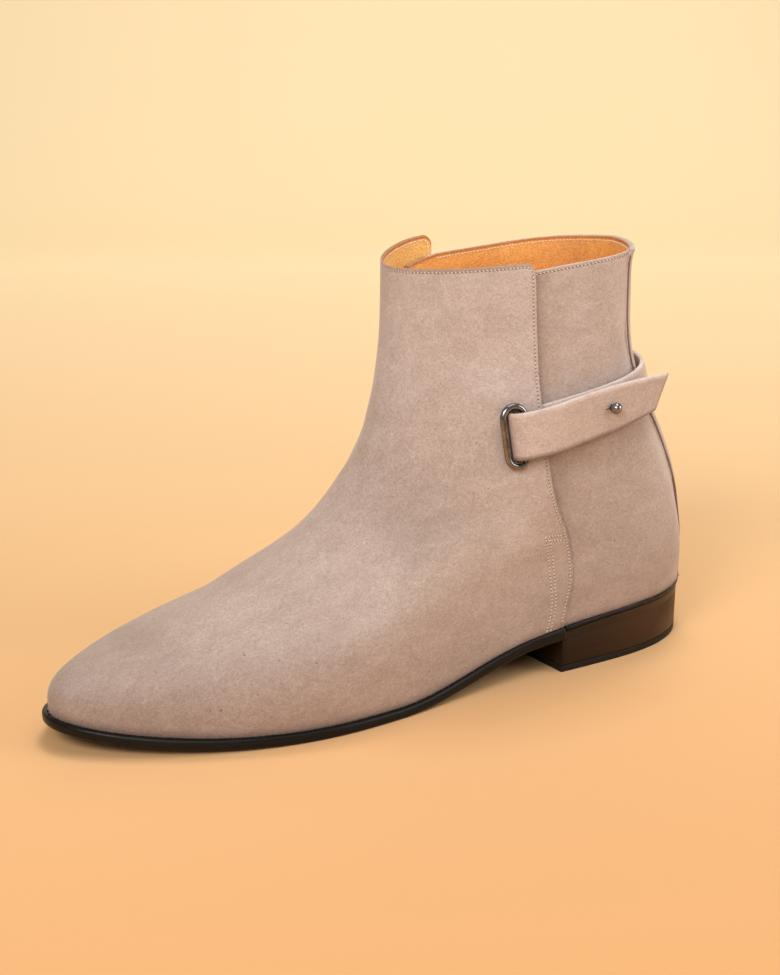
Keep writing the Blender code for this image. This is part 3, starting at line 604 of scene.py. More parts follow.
def spline_piece(start, end, bend_start, bend_end, to_end, from_start, width):
    cubic = (bend_start * to_end**3 + bend_end * from_start**3) / (6 * width)
    line = (start / width - bend_start * width / 6) * to_end
    return cubic + line + (end / width - bend_end * width / 6) * from_start


def table_curve(table, wanted):
    """Smooth curve through the rows of a table: first column the place, second the value."""
    places = table[:, 0]
    values = table[:, 1]
    bends = spline_bends(np.diff(places), False) @ values
    wanted = np.clip(wanted, places[0], places[-1])
    k = np.clip(np.searchsorted(places, wanted, side="right") - 1, 0, len(places) - 2)
    width = places[k + 1] - places[k]
    return spline_piece(
        values[k], values[k + 1], bends[k], bends[k + 1], places[k + 1] - wanted, wanted - places[k], width
    )


def sole_height(place):
    """Height of the even sole's underside, by cubic pieces with the slopes in SOLE_LINE."""
    rows = SOLE_LINE
    place = np.clip(place, rows[0, 0], rows[-1, 0])
    k = np.clip(np.searchsorted(rows[:, 0], place, side="right") - 1, 0, len(rows) - 2)
    width = rows[k + 1, 0] - rows[k, 0]
    t = (place - rows[k, 0]) / width
    start = (1 + 2 * t) * (1 - t) ** 2 * rows[k, 1] + t * (1 - t) ** 2 * width * rows[k, 2]
    return start + t * t * (3 - 2 * t) * rows[k + 1, 1] + t * t * (t - 1) * width * rows[k + 1, 2]


def sole_bottom(place):
    """Height of the outsole's real underside."""
    return sole_height(place) - np.interp(place, SOLE_EXTRA[:, 0], SOLE_EXTRA[:, 1])


def last(turn, row):
    """Points of the last. turn runs round a ring from the back, lateral side first. row is the ring."""
    turn, row = np.broadcast_arrays(np.asarray(turn, float), np.asarray(row, float))
    shape = turn.shape
    turn = turn.ravel() % WHOLE_TURN
    row = row.ravel()
    bends = ROW_BENDS @ RINGS
    k = np.clip(np.floor(row).astype(int), 0, TOP_ROW - 1)
    past = (row - k)[:, None]
    values = spline_piece(RINGS[k], RINGS[k + 1], bends[k], bends[k + 1], 1 - past, past, 1.0)
    ring = dict(zip(RING_COLUMNS, values.T))
    length = ring["front"] - ring["back"]
    middle = STATION_SWING[None, :] * ring["swing"][:, None]
    nothing = np.zeros_like(row)
    half = np.stack((nothing, ring["heel"], ring["waist"], ring["ball"], ring["toe"], nothing), 1)
    place = ring["back"][:, None] + STATION_SHARES[None, :] * length[:, None]
    across = np.concatenate((middle + half, (middle - half)[:, 4:0:-1]), 1)
    along = np.concatenate((place, place[:, 4:0:-1]), 1)
    k = np.clip(np.searchsorted(KNOTS, turn, side="right") - 1, 0, len(KNOTS) - 2)
    following = (k + 1) % across.shape[1]
    width = KNOTS[k + 1] - KNOTS[k]
    n = np.arange(len(turn))
    found = []
    for station in (across, along):
        bends = station @ ROUND_BENDS.T
        values = (station[n, k], station[n, following], bends[n, k], bends[n, following])
        found.append(spline_piece(*values, KNOTS[k + 1] - turn, turn - KNOTS[k], width))
    x, s = found
    share = (s - ring["back"]) / length
    follow = soft_step(1 - row / FOLLOW_SOLE_ROWS)
    first, final = RINGS[0, 0], RINGS[0, 2]
    ends = RINGS[0, 1] + (RINGS[0, 3] - RINGS[0, 1]) * np.clip((s - first) / (final - first), 0, 1)
    bottom = sole_height(s) + SOLE_THICK
    z = ring["back_z"] + (ring["front_z"] - ring["back_z"]) * share + follow * (bottom - ends)
    return np.stack((x, s, z), 1).reshape(shape + (3,))


def outward(turn, row):
    """Unit normals of the last, pointing out of the boot. Close to the sole they turn level."""
    turn = np.asarray(turn, float)
    row = np.asarray(row, float)
    round_way = last(turn + SLOPE_STEP, row) - last(turn - SLOPE_STEP, row)
    up_way = last(turn, row + SLOPE_STEP) - last(turn, np.maximum(row - SLOPE_STEP, 0.0))
    normal = np.cross(round_way, up_way)
    normal[..., 2] *= 1 - soft_step(1 - row / LEVEL_ROWS)
    return unit(normal)


def turn_at_place(side, place, row):
    """Turn where a ring's lateral (1) or medial (-1) half reaches a place from the heel."""
    turns = np.linspace(0.0, HALF_TURN, TURN_SAMPLES) * side
    return np.interp(place, last(turns, row)[:, 1], turns)


def row_at_height(turn, height):
    rows = np.linspace(0.0, TOP_ROW + ROWS_ABOVE_TOP, ROW_SAMPLES)
    return np.interp(height, last(np.full_like(rows, turn), rows)[:, 2], rows)


def rows_at_heights(turns, heights):
    return np.array([row_at_height(turn, height) for turn, height in zip(turns, heights)])


def vamp_edge_turn(side, row):
    """Turn of the vamp's rear edge on one ring."""
    turn = side * HALF_TURN / 2
    for _ in range(SEARCH_ROUNDS):
        height = last(turn, row)[2]
        turn = turn_at_place(side, table_curve(VAMP_EDGE, height) + VAMP_EDGE_SHIFT[side], row)
    return turn


def swell(side, points):
    """How far the vamp is pushed out where the strap lies beneath it."""
    amount = np.zeros(points.shape[:-1])
    for swell_side, place, half_length, height, half_height, size in SWELLS:
        if swell_side != side:
            continue
        along = soft_step(1 - (np.abs(points[..., 1] - place) - half_length) / SWELL_FADE_LENGTH)
        up = soft_step(1 - (np.abs(points[..., 2] - height) - half_height) / SWELL_FADE_HEIGHT)
        amount += size * along * up
    return amount


EDGE_ROWS = np.linspace(0.0, TOP_ROW, EDGE_SAMPLES)
EDGE_TURNS = {side: np.array([vamp_edge_turn(side, row) for row in EDGE_ROWS]) for side in SIDES}


def edge_turn(side, row):
    return np.interp(row, EDGE_ROWS, EDGE_TURNS[side])


def turn_speed(turn, row):
    """Millimetres round the surface for one unit of turn."""
    step = last(turn + SLOPE_STEP, row) - last(turn - SLOPE_STEP, row)
    return np.linalg.norm(step, axis=-1) / (2 * SLOPE_STEP)


def from_back(turns, rows):
    """Millimetres round the rings from the boot's back."""
    return np.abs(turns) * turn_speed(np.zeros_like(turns), rows)


def off_edge(side, distance, row):
    """Turn at a distance forwards of the vamp's rear edge."""
    edge = edge_turn(side, row)
    return edge + side * distance / turn_speed(edge, row)


def vamp_top(side, share):
    """Collar height of the vamp before its corner is rounded. share runs from the edge to the front."""
    return VAMP_FRONT_TOP + (VAMP_CORNER_TOP[side] - VAMP_FRONT_TOP) * soft_step(1 - share)


def vamp_rim(side, share, distance):
    inside = np.clip(VAMP_CORNER_RADIUS - distance, 0.0, VAMP_CORNER_RADIUS)
    return vamp_top(side, share) - VAMP_CORNER_RADIUS + np.sqrt(VAMP_CORNER_RADIUS**2 - inside**2)


def quarter_rim(turns):
    """Collar height of the quarter at turns of the top ring."""
    ends = np.where(turns < 0, edge_turn(-1, TOP_ROW), edge_turn(1, TOP_ROW))
    return QUARTER_BACK_TOP + (QUARTER_FRONT_TOP - QUARTER_BACK_TOP) * turns / ends


def to_world(points):
    """Millimetres counted from the heel to metres round the shared origin."""
    points = np.asarray(points, float)
    x = points[..., 0] - ORIGIN_ACROSS
    y = ORIGIN_FROM_HEEL - points[..., 1]
    return np.stack((x, y, points[..., 2]), -1) * MM


# Meshes

def mesh_object(name, points, faces):
    """Object with a mesh whose faces point out, from points in millimetres."""
    mesh = bpy.data.meshes.new(name)
    mesh.from_pydata([tuple(p) for p in to_world(points)], [], faces)
    shape = bmesh.new()
    shape.from_mesh(mesh)
    bmesh.ops.recalc_face_normals(shape, faces=shape.faces)
    shape.to_mesh(mesh)
    shape.free()
    made = bpy.data.objects.new(name, mesh)
    bpy.context.scene.collection.objects.link(made)
    return made


def add_piece(name, points, faces, material, slot, replaced=(), shade=None):
    """Smooth piece that rides on the boot and may stand for solids. shade is the tone at each point."""
    piece = mesh_object(name, points, faces)
    mesh = piece.data
    mesh.shade_smooth()
    if shade is not None:
        tone = mesh.attributes.new("tone", "FLOAT", "POINT")
        tone.data.foreach_set("value", np.asarray(shade, np.float32))
    mesh.materials.append(material)
    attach(piece, "root")
    if replaced:
        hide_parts(*replaced)
    return piece


def keep_modified(piece):
    """Writes the piece's modifiers into its mesh."""
    seen = piece.evaluated_get(bpy.context.evaluated_depsgraph_get())
    made = bpy.data.meshes.new_from_object(seen)
    piece.modifiers.clear()
    piece.data = made


def strip_faces(ring_a, ring_b):
    """Quads between two closed rings of vertex numbers."""
    count = len(ring_a)
    return [(ring_a[i], ring_a[(i + 1) % count], ring_b[(i + 1) % count], ring_b[i]) for i in range(count)]


def stacked_faces(levels, count, closed=False):
    """Quads between rings of equal counts, numbered one after the other. A closed stack meets its start."""
    faces = []
    for level in range(levels if closed else levels - 1):
        here = list(range(level * count, (level + 1) * count))
        faces += strip_faces(here, [(n + count) % (levels * count) for n in here])
    return faces


def poled_faces(levels, count):
    """Faces of a round shape numbered from one pole over its rings to the other pole."""
    faces = [tuple(1 + n for n in face) for face in stacked_faces(levels, count)]
    last_ring = 1 + (levels - 1) * count
    far_pole = last_ring + count
    for i in range(count):
        j = (i + 1) % count
        faces.append((0, 1 + j, 1 + i))
        faces.append((far_pole, last_ring + i, last_ring + j))
    return faces


def joined(parts):
    """Points and faces of several meshes as one mesh."""
    points = []
    faces = []
    start = 0
    for part_points, part_faces in parts:
        points.append(part_points)
        faces += [tuple(start + n for n in face) for face in part_faces]
        start += len(part_points)
    return np.concatenate(points), faces


def panel_mesh(outer, inner, roundness=1.0):
    """Points and faces of a thin closed panel between two grids (columns, rows), with rounded edges."""
    columns, rows = outer.shape[:2]
    numbers = np.arange(columns * rows).reshape(columns, rows)
    quads = []
    for i in range(columns - 1):
        for k in range(rows - 1):
            quads.append((numbers[i, k], numbers[i + 1, k], numbers[i + 1, k + 1], numbers[i, k + 1]))
    other = columns * rows
    faces = quads + [tuple(other + n for n in reversed(quad)) for quad in quads]
    around = [(i, 0) for i in range(columns - 1)]
    around += [(columns - 1, k) for k in range(rows - 1)]
    around += [(i, rows - 1) for i in range(columns - 1, 0, -1)]
    around += [(0, k) for k in range(rows - 1, 0, -1)]
    i, k = np.array(around).T
    inner_i = np.clip(i, 1, columns - 2)
    inner_k = np.clip(k, 1, rows - 2)
    away = unit(outer[i, k] - outer[inner_i, inner_k])
    middle = (outer[i, k] + inner[i, k]) / 2
    arm = (outer[i, k] - inner[i, k]) / 2
    reach = np.linalg.norm(arm, axis=1)[:, None] * roundness
    points = [outer.reshape(-1, 3), inner.reshape(-1, 3)]
    ring = [numbers[a, b] for a, b in around]
    first_ring = ring
    start = 2 * other
    for step in range(1, EDGE_ROUND_STEPS):
        angle = math.pi * step / EDGE_ROUND_STEPS
        points.append(middle + arm * math.cos(angle) + away * reach * math.sin(angle))
        following = list(range(start, start + len(around)))
        faces += strip_faces(ring, following)
        ring = following
        start += len(around)
    faces += strip_faces(ring, [other + n for n in first_ring])
    return np.concatenate(points), faces


def tube_mesh(rings):
    """Closed solid through rings of equal counts, with its ends closed."""
    steps, corners = rings.shape[:2]
    faces = stacked_faces(steps, corners)
    faces.append(tuple(range(corners)))
    faces.append(tuple(range((steps - 1) * corners, steps * corners)))
    return rings.reshape(-1, 3), faces


def unevenness(points):
    """Small smooth ups and downs of the suede at each point."""
    flat = np.asarray(points).reshape(-1, 3) / UNEVEN_WAVE
    values = [noise.noise(Vector(p)) for p in flat]
    return np.array(values).reshape(np.shape(points)[:-1]) * UNEVEN_DEPTH


def raised(points, normals, height):
    return points + normals * np.asarray(height)[..., None]


def path_way(path):
    """Way along a path from its start to each of its points."""
    return np.concatenate(([0.0], np.cumsum(np.linalg.norm(np.diff(path, axis=0), axis=1))))


def along_path(wanted, way, values):
    """Points or directions along a path, read at the wanted ways."""
    return np.stack([np.interp(wanted, way, values[:, c]) for c in range(3)], -1)


def square_to(vectors, runs):
    """Unit vectors turned square to the runs."""
    return unit(vectors - runs * (vectors * runs).sum(1)[:, None])


def facing(vectors, ways):
    """Vectors, each one reversed where it points against its way."""
    return vectors * np.sign((vectors * ways).sum(1))[:, None]


# Suede panels and lining

def crease_depth(points):
    """Soft troughs at the listed places, with a lower ridge on each side."""
    depth = np.zeros(points.shape[:-1])
    for where, height, half_long, half_wide, lean, deep in CREASES:
        middle_turn = (where * WHOLE_TURN) % WHOLE_TURN
        middle_row = row_at_height(middle_turn, height)
        middle = last(middle_turn, middle_row)
        normal = outward(middle_turn, middle_row)
        level = unit(np.cross(normal, (0.0, 0.0, 1.0)))
        upward = np.cross(level, normal)
        upward = upward * np.sign(upward[2])
        along = unit(level + upward * lean)
        across = np.cross(normal, along)
        away = points - middle
        u = (away @ along) / half_long
        v = (away @ across) / half_wide
        near = np.exp(-((away @ normal) / half_long) ** 2)
        depth += deep * np.exp(-u * u) * (1 - v * v) * np.exp(-v * v / CREASE_RIDGE) * near
    return depth


def strip_half(heights):
    return np.interp(heights, BACK_STRIP_HALF[:, 0], BACK_STRIP_HALF[:, 1])


def back_recess(turns, rows, heights):
    """How far the quarter is let in under the back strip, running out beside it and below the rim."""
    depth, run_out, fade = BACK_RECESS
    beside = soft_step(1 - (from_back(turns, rows) - strip_half(heights)) / run_out)
    return depth * beside * soft_step((QUARTER_BACK_TOP - heights) / fade)


def skived(face, back, below):
    """Inner face of a wall that thins out below its rim."""
    thin = soft_step(1 - below / SKIVE_LENGTH)
    return back + thin * (face - back - RIM_WALL)


def seam_depth(distance):
    return bell(distance - SEAM_INSET, SEAM_DEPTH, SEAM_HALF)


def column_rows(top_turns, rims):
    """Rows of each column from the sole to the rim, close together just under the rim."""
    rim_rows = rows_at_heights(top_turns, rims)
    rise = (last(top_turns, rim_rows) - last(top_turns, rim_rows - RISE_STEP))[:, 2] / RISE_STEP
    near = rim_rows[:, None] - RIM_DISTANCES[None, ::-1] / rise[:, None]
    low = near[:, :1] * np.linspace(0.0, 1.0, LOW_ROWS)[None, :-1]
    return np.concatenate((low, near), 1)


def vamp_columns(side, inset):
    """Turns and rows of the vamp's grid on one side, from its edge to the front."""
    near = np.maximum(NEAR_DISTANCES, inset)
    near = inset + (near - near[0]) * (NEAR_DISTANCES[-1] - inset) / (near[-1] - near[0])
    shares = np.concatenate((np.zeros(len(near)), np.linspace(0.0, 1.0, FAR_COLUMNS + 1)[1:]))
    distances = np.concatenate((near, np.full(FAR_COLUMNS, near[-1])))
    start = off_edge(side, distances, np.full_like(distances, TOP_ROW))
    top_turns = start + (side * HALF_TURN - start) * shares
    edge_top = edge_turn(side, TOP_ROW)
    rim_shares = (top_turns - edge_top) / (side * HALF_TURN - edge_top)
    from_edge = np.linalg.norm(last(top_turns, TOP_ROW) - last(edge_top, TOP_ROW), axis=1)
    rims = vamp_rim(side, rim_shares, from_edge - inset) - inset
    rows = column_rows(top_turns, rims)
    start = off_edge(side, distances[:, None], rows)
    turns = start + (side * HALF_TURN - start) * shares[:, None]
    return turns, rows, rims


def vamp_layers(side, turns, rows):
    """Points of the last with outward directions, and the heights of the vamp's two faces over it."""
    points = last(turns, rows)
    distance = np.linalg.norm(points - last(edge_turn(side, rows), rows), axis=-1)
    fade = soft_step(1 - distance / VAMP_STEP_LENGTH)
    over = swell(side, points)
    upward = soft_step((points[..., 2] - EDGE_LIFT_FROM) / (EDGE_LIFT_FULL - EDGE_LIFT_FROM))
    lift = EDGE_LIFT * soft_step(1 - distance / EDGE_LIFT_LENGTH) * upward
    flat = rising(LOW_EDGE_TOP - points[..., 2], LOW_EDGE_FLAT, 0.0, LOW_EDGE_RUN)
    face = VAMP_STEP * fade * (1 - flat) + np.maximum(over, lift)
    back = face - (WALL + (VAMP_EDGE_WALL - WALL) * fade)
    return points, outward(turns, rows), face, back, distance


def one_sheet(lateral, medial):
    """Grids of both sides in one, from the lateral edge to the medial edge. They share a column."""
    return [np.concatenate((first, second[-2::-1])) for first, second in zip(lateral, medial)]


def vamp_side(side, inset):
    turns, rows, rims = vamp_columns(side, inset)
    points, normals, face, back, distance = vamp_layers(side, turns, rows)
    below = rims[:, None] - points[..., 2]
    return points, normals, face, skived(face, back, below), distance, below


def vamp_grids(inset):
    """The vamp's grid over the front: points, normals, heights of its faces, distances to edge and rim."""
    return one_sheet(*(vamp_side(side, inset) for side in SIDES))


def suede_tone(points):
    """Tone of the suede: painted shade towards the sole and at the toe, darker still just above the sole,
    painted light towards the collar, and patches that are partly painted light and shade, partly the nap's
    own tone.
    """
    over_sole = points[..., 2] - sole_height(points[..., 1]) - SOLE_THICK
    low = falling(over_sole, *LOW_SHADE)
    toe = rising(points[..., 1], *TOE_SHADE)
    high = rising(points[..., 2], *COLLAR_LIGHT)
    tone = low + toe - high + falling(over_sole, *FEATHER_TONE)
    for place, height, half_long, half_tall, amount in LIGHT_AND_NAP_PATCHES:
        along = (points[..., 1] - place) / half_long
        up = (points[..., 2] - height) / half_tall
        tone = tone + amount * np.exp(-along * along - up * up)
    return tone


def rim_tone(below, points, tab_light):
    """Tone of the lining: brown at its upper edge, paler on the medial tab by painted light of the given
    amount, stained at the back.
    """
    edge = falling(below, *LINING_RIM_TONE)
    # Painted light on the medial tab
    pale = rising(points[..., 2], tab_light, TAB_LIGHT_FROM, TAB_LIGHT_RISE) * soft_step(-points[..., 0] / TAB_LIGHT_ACROSS)
    amount, across, half_wide, place, half_long = STAIN
    u = (points[..., 0] - across) / half_wide
    v = (points[..., 1] - place) / half_long
    return np.where(edge > 0.0, edge, amount * np.exp(-(u**2) - v**2) - pale)


def strap_shade(points):
    """Shade that the strap throws on the suede just under its lower edge."""
    middles, acrosses, _, widths, _ = strap_stations()
    lower = (middles - acrosses * (widths / 2)[:, None])[::SHADE_EVERY]
    apart = np.min([np.linalg.norm(points - spot, axis=-1) for spot in lower], 0)
    return bell(apart, *STRAP_SHADE)


def make_vamp(material):
    points, normals, face, back, distance, below = vamp_grids(0.0)
    worked = np.maximum(seam_depth(distance), seam_depth(below))
    relief = unevenness(points) - worked - crease_depth(points)
    outer = raised(points, normals, face + relief)
    inner = raised(points, normals, back + LINING_THICK + LAYER_GAP)
    shape, faces = panel_mesh(outer, inner)
    tone = np.full(len(shape), CUT_EDGE_TONE)
    rim = falling(below, *VAMP_RIM_TONE)
    tones = worked / SEAM_DEPTH * VAMP_SEAM_SHADE + suede_tone(points) + rim + strap_shade(outer)
    tone[: worked.size] = tones.ravel()
    return add_piece("vamp", shape, faces, material, "suede", ("upper",), tone)


def make_lining(name, points, normals, back, below, tab_light, material):
    shape, faces = panel_mesh(raised(points, normals, back + LINING_THICK), raised(points, normals, back))
    tone = np.full(len(shape), LINING_EDGE_TONE)
    tone[: 2 * below.size] = np.tile(rim_tone(below, points, tab_light).ravel(), 2)
    return add_piece(name, shape, faces, material, "lining_leather", (), tone)


def make_vamp_lining(material):
    points, normals, _, back, _, below = vamp_grids(LINING_INSET)
    return make_lining("vamp_lining", points, normals, back, below, 1.0, material)


def quarter_side(side, inset):
    ahead = np.linspace(QUARTER_UNDERLAP - inset, 1.0, UNDERLAP_COLUMNS)
    behind = np.linspace(0.0, 1.0, QUARTER_COLUMNS + 1)
    distances = np.concatenate((ahead, np.zeros(len(behind))))
    shares = np.concatenate((np.ones(len(ahead)), 1.0 - behind))
    top_turns = off_edge(side, distances, np.full_like(distances, TOP_ROW)) * shares
    rims = QUARTER_BACK_TOP + (QUARTER_FRONT_TOP - QUARTER_BACK_TOP) * shares
    rims = rims - distances / QUARTER_UNDERLAP * QUARTER_UNDERLAP_FALL - inset
    rows = column_rows(top_turns, rims)
    turns = off_edge(side, distances[:, None], rows) * shares[:, None]
    points = last(turns, rows)
    fade = soft_step(1 - distances / VAMP_STEP_LENGTH)[:, None]
    under = VAMP_STEP * fade - (WALL + (VAMP_EDGE_WALL - WALL) * fade) - LAYER_GAP
    face = np.where(distances[:, None] > 0.0, np.minimum(under, 0.0), 0.0)
    face = np.broadcast_to(face, rows.shape)
    below = rims[:, None] - points[..., 2]
    return turns, rows, points, outward(turns, rows), face, skived(face, face - WALL, below), below


def quarter_grid(inset):
    """The quarter's grid round the back: turns, rows, points, normals, heights of its faces, way to rim."""
    return one_sheet(*(quarter_side(side, inset) for side in SIDES))


def make_quarter(material):
    turns, rows, points, normals, face, back, below = quarter_grid(0.0)
    heights = points[..., 2]
    worked = seam_depth(below)
    relief = unevenness(points) - back_recess(turns, rows, heights) - worked - crease_depth(points)
    relief = np.maximum(relief, back - face + LINING_THICK + LAYER_GAP + LEAST_SUEDE)
    outer = raised(points, normals, face + np.where(face < 0.0, np.minimum(relief, 0.0), relief))
    inner = raised(points, normals, back + LINING_THICK + LAYER_GAP)
    shape, faces = panel_mesh(outer, inner)
    collar = shape[:, 2] > QUARTER_FRONT_TOP - COLLAR_CUT_BELOW
    tone = np.where(collar, COLLAR_CUT_TONE, CUT_EDGE_TONE)
    behind = np.abs(np.where(turns > 0, edge_turn(1, rows), edge_turn(-1, rows))) - np.abs(turns)
    shadow = bell(behind * turn_speed(turns, rows), *EDGE_SHADOW)
    shadow = shadow * (SHADOW_LOW + rising(heights, 1 - SHADOW_LOW, SHADOW_FROM, SHADOW_RISE))
    shine = bell(from_back(turns, rows) - strip_half(heights), *STRIP_SHINE)
    # Takes back most of the painted light towards the collar on the quarter
    collar_light_undone = rising(heights, *QUARTER_LIGHT_UNDONE)
    tones = worked / SEAM_DEPTH * QUARTER_SEAM_SHADE + suede_tone(points) + collar_light_undone
    tones = tones + shadow - shine - falling(below, *QUARTER_RIM_TONE) + strap_shade(outer)
    tone[: worked.size] = tones.ravel()
    return add_piece("quarter", shape, faces, material, "suede", (), tone)


def make_quarter_lining(material):
    _, _, points, normals, _, back, below = quarter_grid(LINING_INSET)
    return make_lining("quarter_lining", points, normals, back, below, 0.0, material)


def make_back_strip(material):
    """Strip over the quarter's back, its cut edges painted dark as shade."""
    shares = np.linspace(-1.0, 1.0, STRIP_COLUMNS)
    back = np.zeros_like(shares)
    top_turns = shares * strip_half(QUARTER_BACK_TOP) / turn_speed(back, back + TOP_ROW)
    rows = column_rows(top_turns, quarter_rim(top_turns) + BACK_STRIP_STAND)
    halves = strip_half(last(np.zeros_like(rows), rows)[..., 2])
    turns = shares[:, None] * halves / turn_speed(np.zeros_like(rows), rows)
    points = last(turns, rows)
    normals = outward(turns, rows)
    base = unevenness(points) - back_recess(turns, rows, points[..., 2])
    outer = raised(points, normals, base + BACK_STRIP_THICK)
    inner = raised(points, normals, base - BACK_STRIP_SINK)
    shape, faces = panel_mesh(outer, inner, BACK_STRIP_ROUND)
    collar = shape[:, 2] > QUARTER_FRONT_TOP + STRIP_CUT_ABOVE
    tone = np.where(collar, STRIP_COLLAR_TONE, STRIP_CUT_SHADE)
    tone[: rows.size] = suede_tone(points).ravel()
    return add_piece("back_strip", shape, faces, material, "suede", (), tone)


def make_back_piping(material):
    """Fine bead along both edges of the back strip, painted pale as a highlight."""
    heights = np.linspace(PIPING_FROM, PIPING_TO, PIPING_STEPS)
    back = np.zeros_like(heights)
    speeds = turn_speed(back, rows_at_heights(back, heights))
    share = PIPING_FOOT + rising(heights, 1 - PIPING_FOOT, PIPING_FROM, PIPING_GROWS)
    radius = PIPING_RADIUS * share[:, None]
    beads = []
    for side in SIDES:
        turns = side * (strip_half(heights) + PIPING_RADIUS) / speeds
        rows = rows_at_heights(turns, heights)
        points = last(turns, rows)
        normals = outward(turns, rows)
        base = unevenness(points) - back_recess(turns, rows, points[:, 2])
        line = raised(points, normals, base + PIPING_LIFT)
        asides = unit(np.cross(np.gradient(line, axis=0), normals))
        rings = []
        for angle in np.linspace(0.0, 2 * math.pi, PIPING_SIDES, endpoint=False):
            rings.append(line + (normals * math.sin(angle) + asides * math.cos(angle)) * radius)
        beads.append(tube_mesh(np.stack(rings, 1)))
    shape, faces = joined(beads)
    return add_piece("back_piping", shape, faces, material, "suede", (), np.full(len(shape), PIPING_HIGHLIGHT))


# Strap, slot ring and stud

def strap_frames():
    """Middle line of the strap's under layer with its run, width and outward directions."""
    track = STRAP_TRACK
    numbers = np.arange(len(track), dtype=float)
    wanted = np.linspace(0.0, len(track) - 1.0, STRAP_STEPS)
    shares, heights, low_space, high_space = (
        table_curve(np.column_stack((numbers, track[:, c])), wanted) for c in range(4)
    )
    turns = shares * WHOLE_TURN
    half = STRAP_WIDE / 2
    lines = []
    for from_middle, space in ((-half, low_space), (0.0, low_space), (half, high_space)):
        rows = rows_at_heights(turns, heights + from_middle)
        normals = outward(turns, rows)
        lines.append((raised(last(turns, rows), normals, space), normals))
    (low, _), (middle, normals), (high, _) = lines
    width = unit(high - low)
    seat = (low + high) / 2
    lift = np.maximum(((middle - seat) * normals).sum(1), 0.0)
    seat = raised(seat, normals, lift)
    run = unit(np.gradient(seat, axis=0))
    width = square_to(width, run)
    return seat, run, width, facing(np.cross(width, run), normals)


STRAP_SEAT, STRAP_RUN, STRAP_ACROSS, STRAP_OUT = strap_frames()
STRAP_WAY = path_way(STRAP_SEAT)


def slot_frame():
    """Middle of the slot on the quarter's surface, and its forward, upward and outward directions."""
    row = TOP_ROW / 2
    for _ in range(SEARCH_ROUNDS):
        turn = turn_at_place(1, SLOT_FROM_HEEL, row)
        row = row_at_height(turn, SLOT_HEIGHT)
    middle = last(turn, row)
    normal = outward(turn, row)
    run = STRAP_RUN[np.linalg.norm(STRAP_SEAT - middle, axis=1).argmin()]
    forward = unit(run - normal * (run @ normal))
    up = np.cross(normal, forward)
    return middle, forward, up * np.sign(up[2]), normal


SLOT_MIDDLE, SLOT_FORWARD, SLOT_UP, SLOT_OUT = slot_frame()


def return_layer(fold_way):
    """Middle line of the strap's outer layer from the fold back to the tip, with its directions."""
    lengths = np.linspace(0.0, STUD_ALONG, RETURN_STEPS + 1)
    space = table_curve(STRAP_RETURN[:, (0, 1)], lengths)
    drop = table_curve(STRAP_RETURN[:, (0, 2)], lengths)
    base = along_path(fold_way - lengths, STRAP_WAY, STRAP_SEAT)
    across = unit(along_path(fold_way - lengths, STRAP_WAY, STRAP_ACROSS))
    face = unit(along_path(fold_way - lengths, STRAP_WAY, STRAP_OUT))
    lift = STRAP_THICK + space + STRAP_THICK / 2
    low_edge = raised(base, face, lift) - across * (drop + STRAP_WIDE / 2)[:, None]
    stand_up = rising(lengths, UPRIGHT_SHARE, 0.0, UPRIGHT_WAY)[:, None]
    across = unit(across * (1 - stand_up) + np.array((0.0, 0.0, 1.0)) * stand_up)
    middle = low_edge + across * STRAP_WIDE / 2
    ahead = unit(middle[-1] - middle[-STRAIGHT_STEPS])
    past_stud = TIP_LENGTH * np.arange(1, TIP_STEPS + 1) / TIP_STEPS
    lengths = np.concatenate((lengths, STUD_ALONG + past_stud))
    middle = np.vstack((middle, middle[-1] + ahead * past_stud[:, None]))
    across = np.vstack((across, np.tile(across[-1], (TIP_STEPS, 1))))
    face = np.vstack((face, np.tile(face[-1], (TIP_STEPS, 1))))
    run = unit(np.gradient(middle, axis=0))
    across = square_to(across, run)
    wide = table_curve(STRAP_RETURN[:, (0, 3)], lengths)
    return middle, across, facing(np.cross(across, run), -face), wide


def strap_stations():
    """Middles, width directions, thickness directions and widths along the strap, and the stud's frame."""
    fold_at = FOLD_AHEAD - (RING_WIDE - RING_WIRE) / 2
    ahead = (STRAP_SEAT - SLOT_MIDDLE) @ SLOT_FORWARD
    lateral = np.arange(STRAP_STEPS) > STRAP_STEPS // 2
    fold_way = np.interp(fold_at, ahead[lateral], STRAP_WAY[lateral])
    keep = STRAP_WAY < fold_way - FOLD_RUN_IN
    half = STRAP_THICK / 2
    line, across, inside, wide = return_layer(fold_way)
    low = along_path(fold_way, STRAP_WAY, STRAP_SEAT) + SLOT_OUT * half
    rise = (line[0] - low) @ SLOT_OUT
    under = STRAP_SEAT[keep] + STRAP_OUT[keep] * half
    ways = [(m, a, t, STRAP_WIDE) for m, a, t in zip(under, STRAP_ACROSS[keep], STRAP_OUT[keep])]
    for k in range(FOLD_STEPS):
        angle = math.pi * k / FOLD_STEPS
        share = (1 - math.cos(angle)) / 2
        centre = low + (line[0] - low) * share + SLOT_FORWARD * math.sin(angle) * rise / 2
        thick = SLOT_OUT * math.cos(angle) - SLOT_FORWARD * math.sin(angle)
        ways.append((centre, SLOT_UP, thick, STRAP_WIDE))
    ways += list(zip(line, across, inside, wide))
    at = STUD_STATION
    stud = (line[at] + across[at] * STUD_UP, across[at], -inside[at])
    return *(np.array(column) for column in zip(*ways)), stud


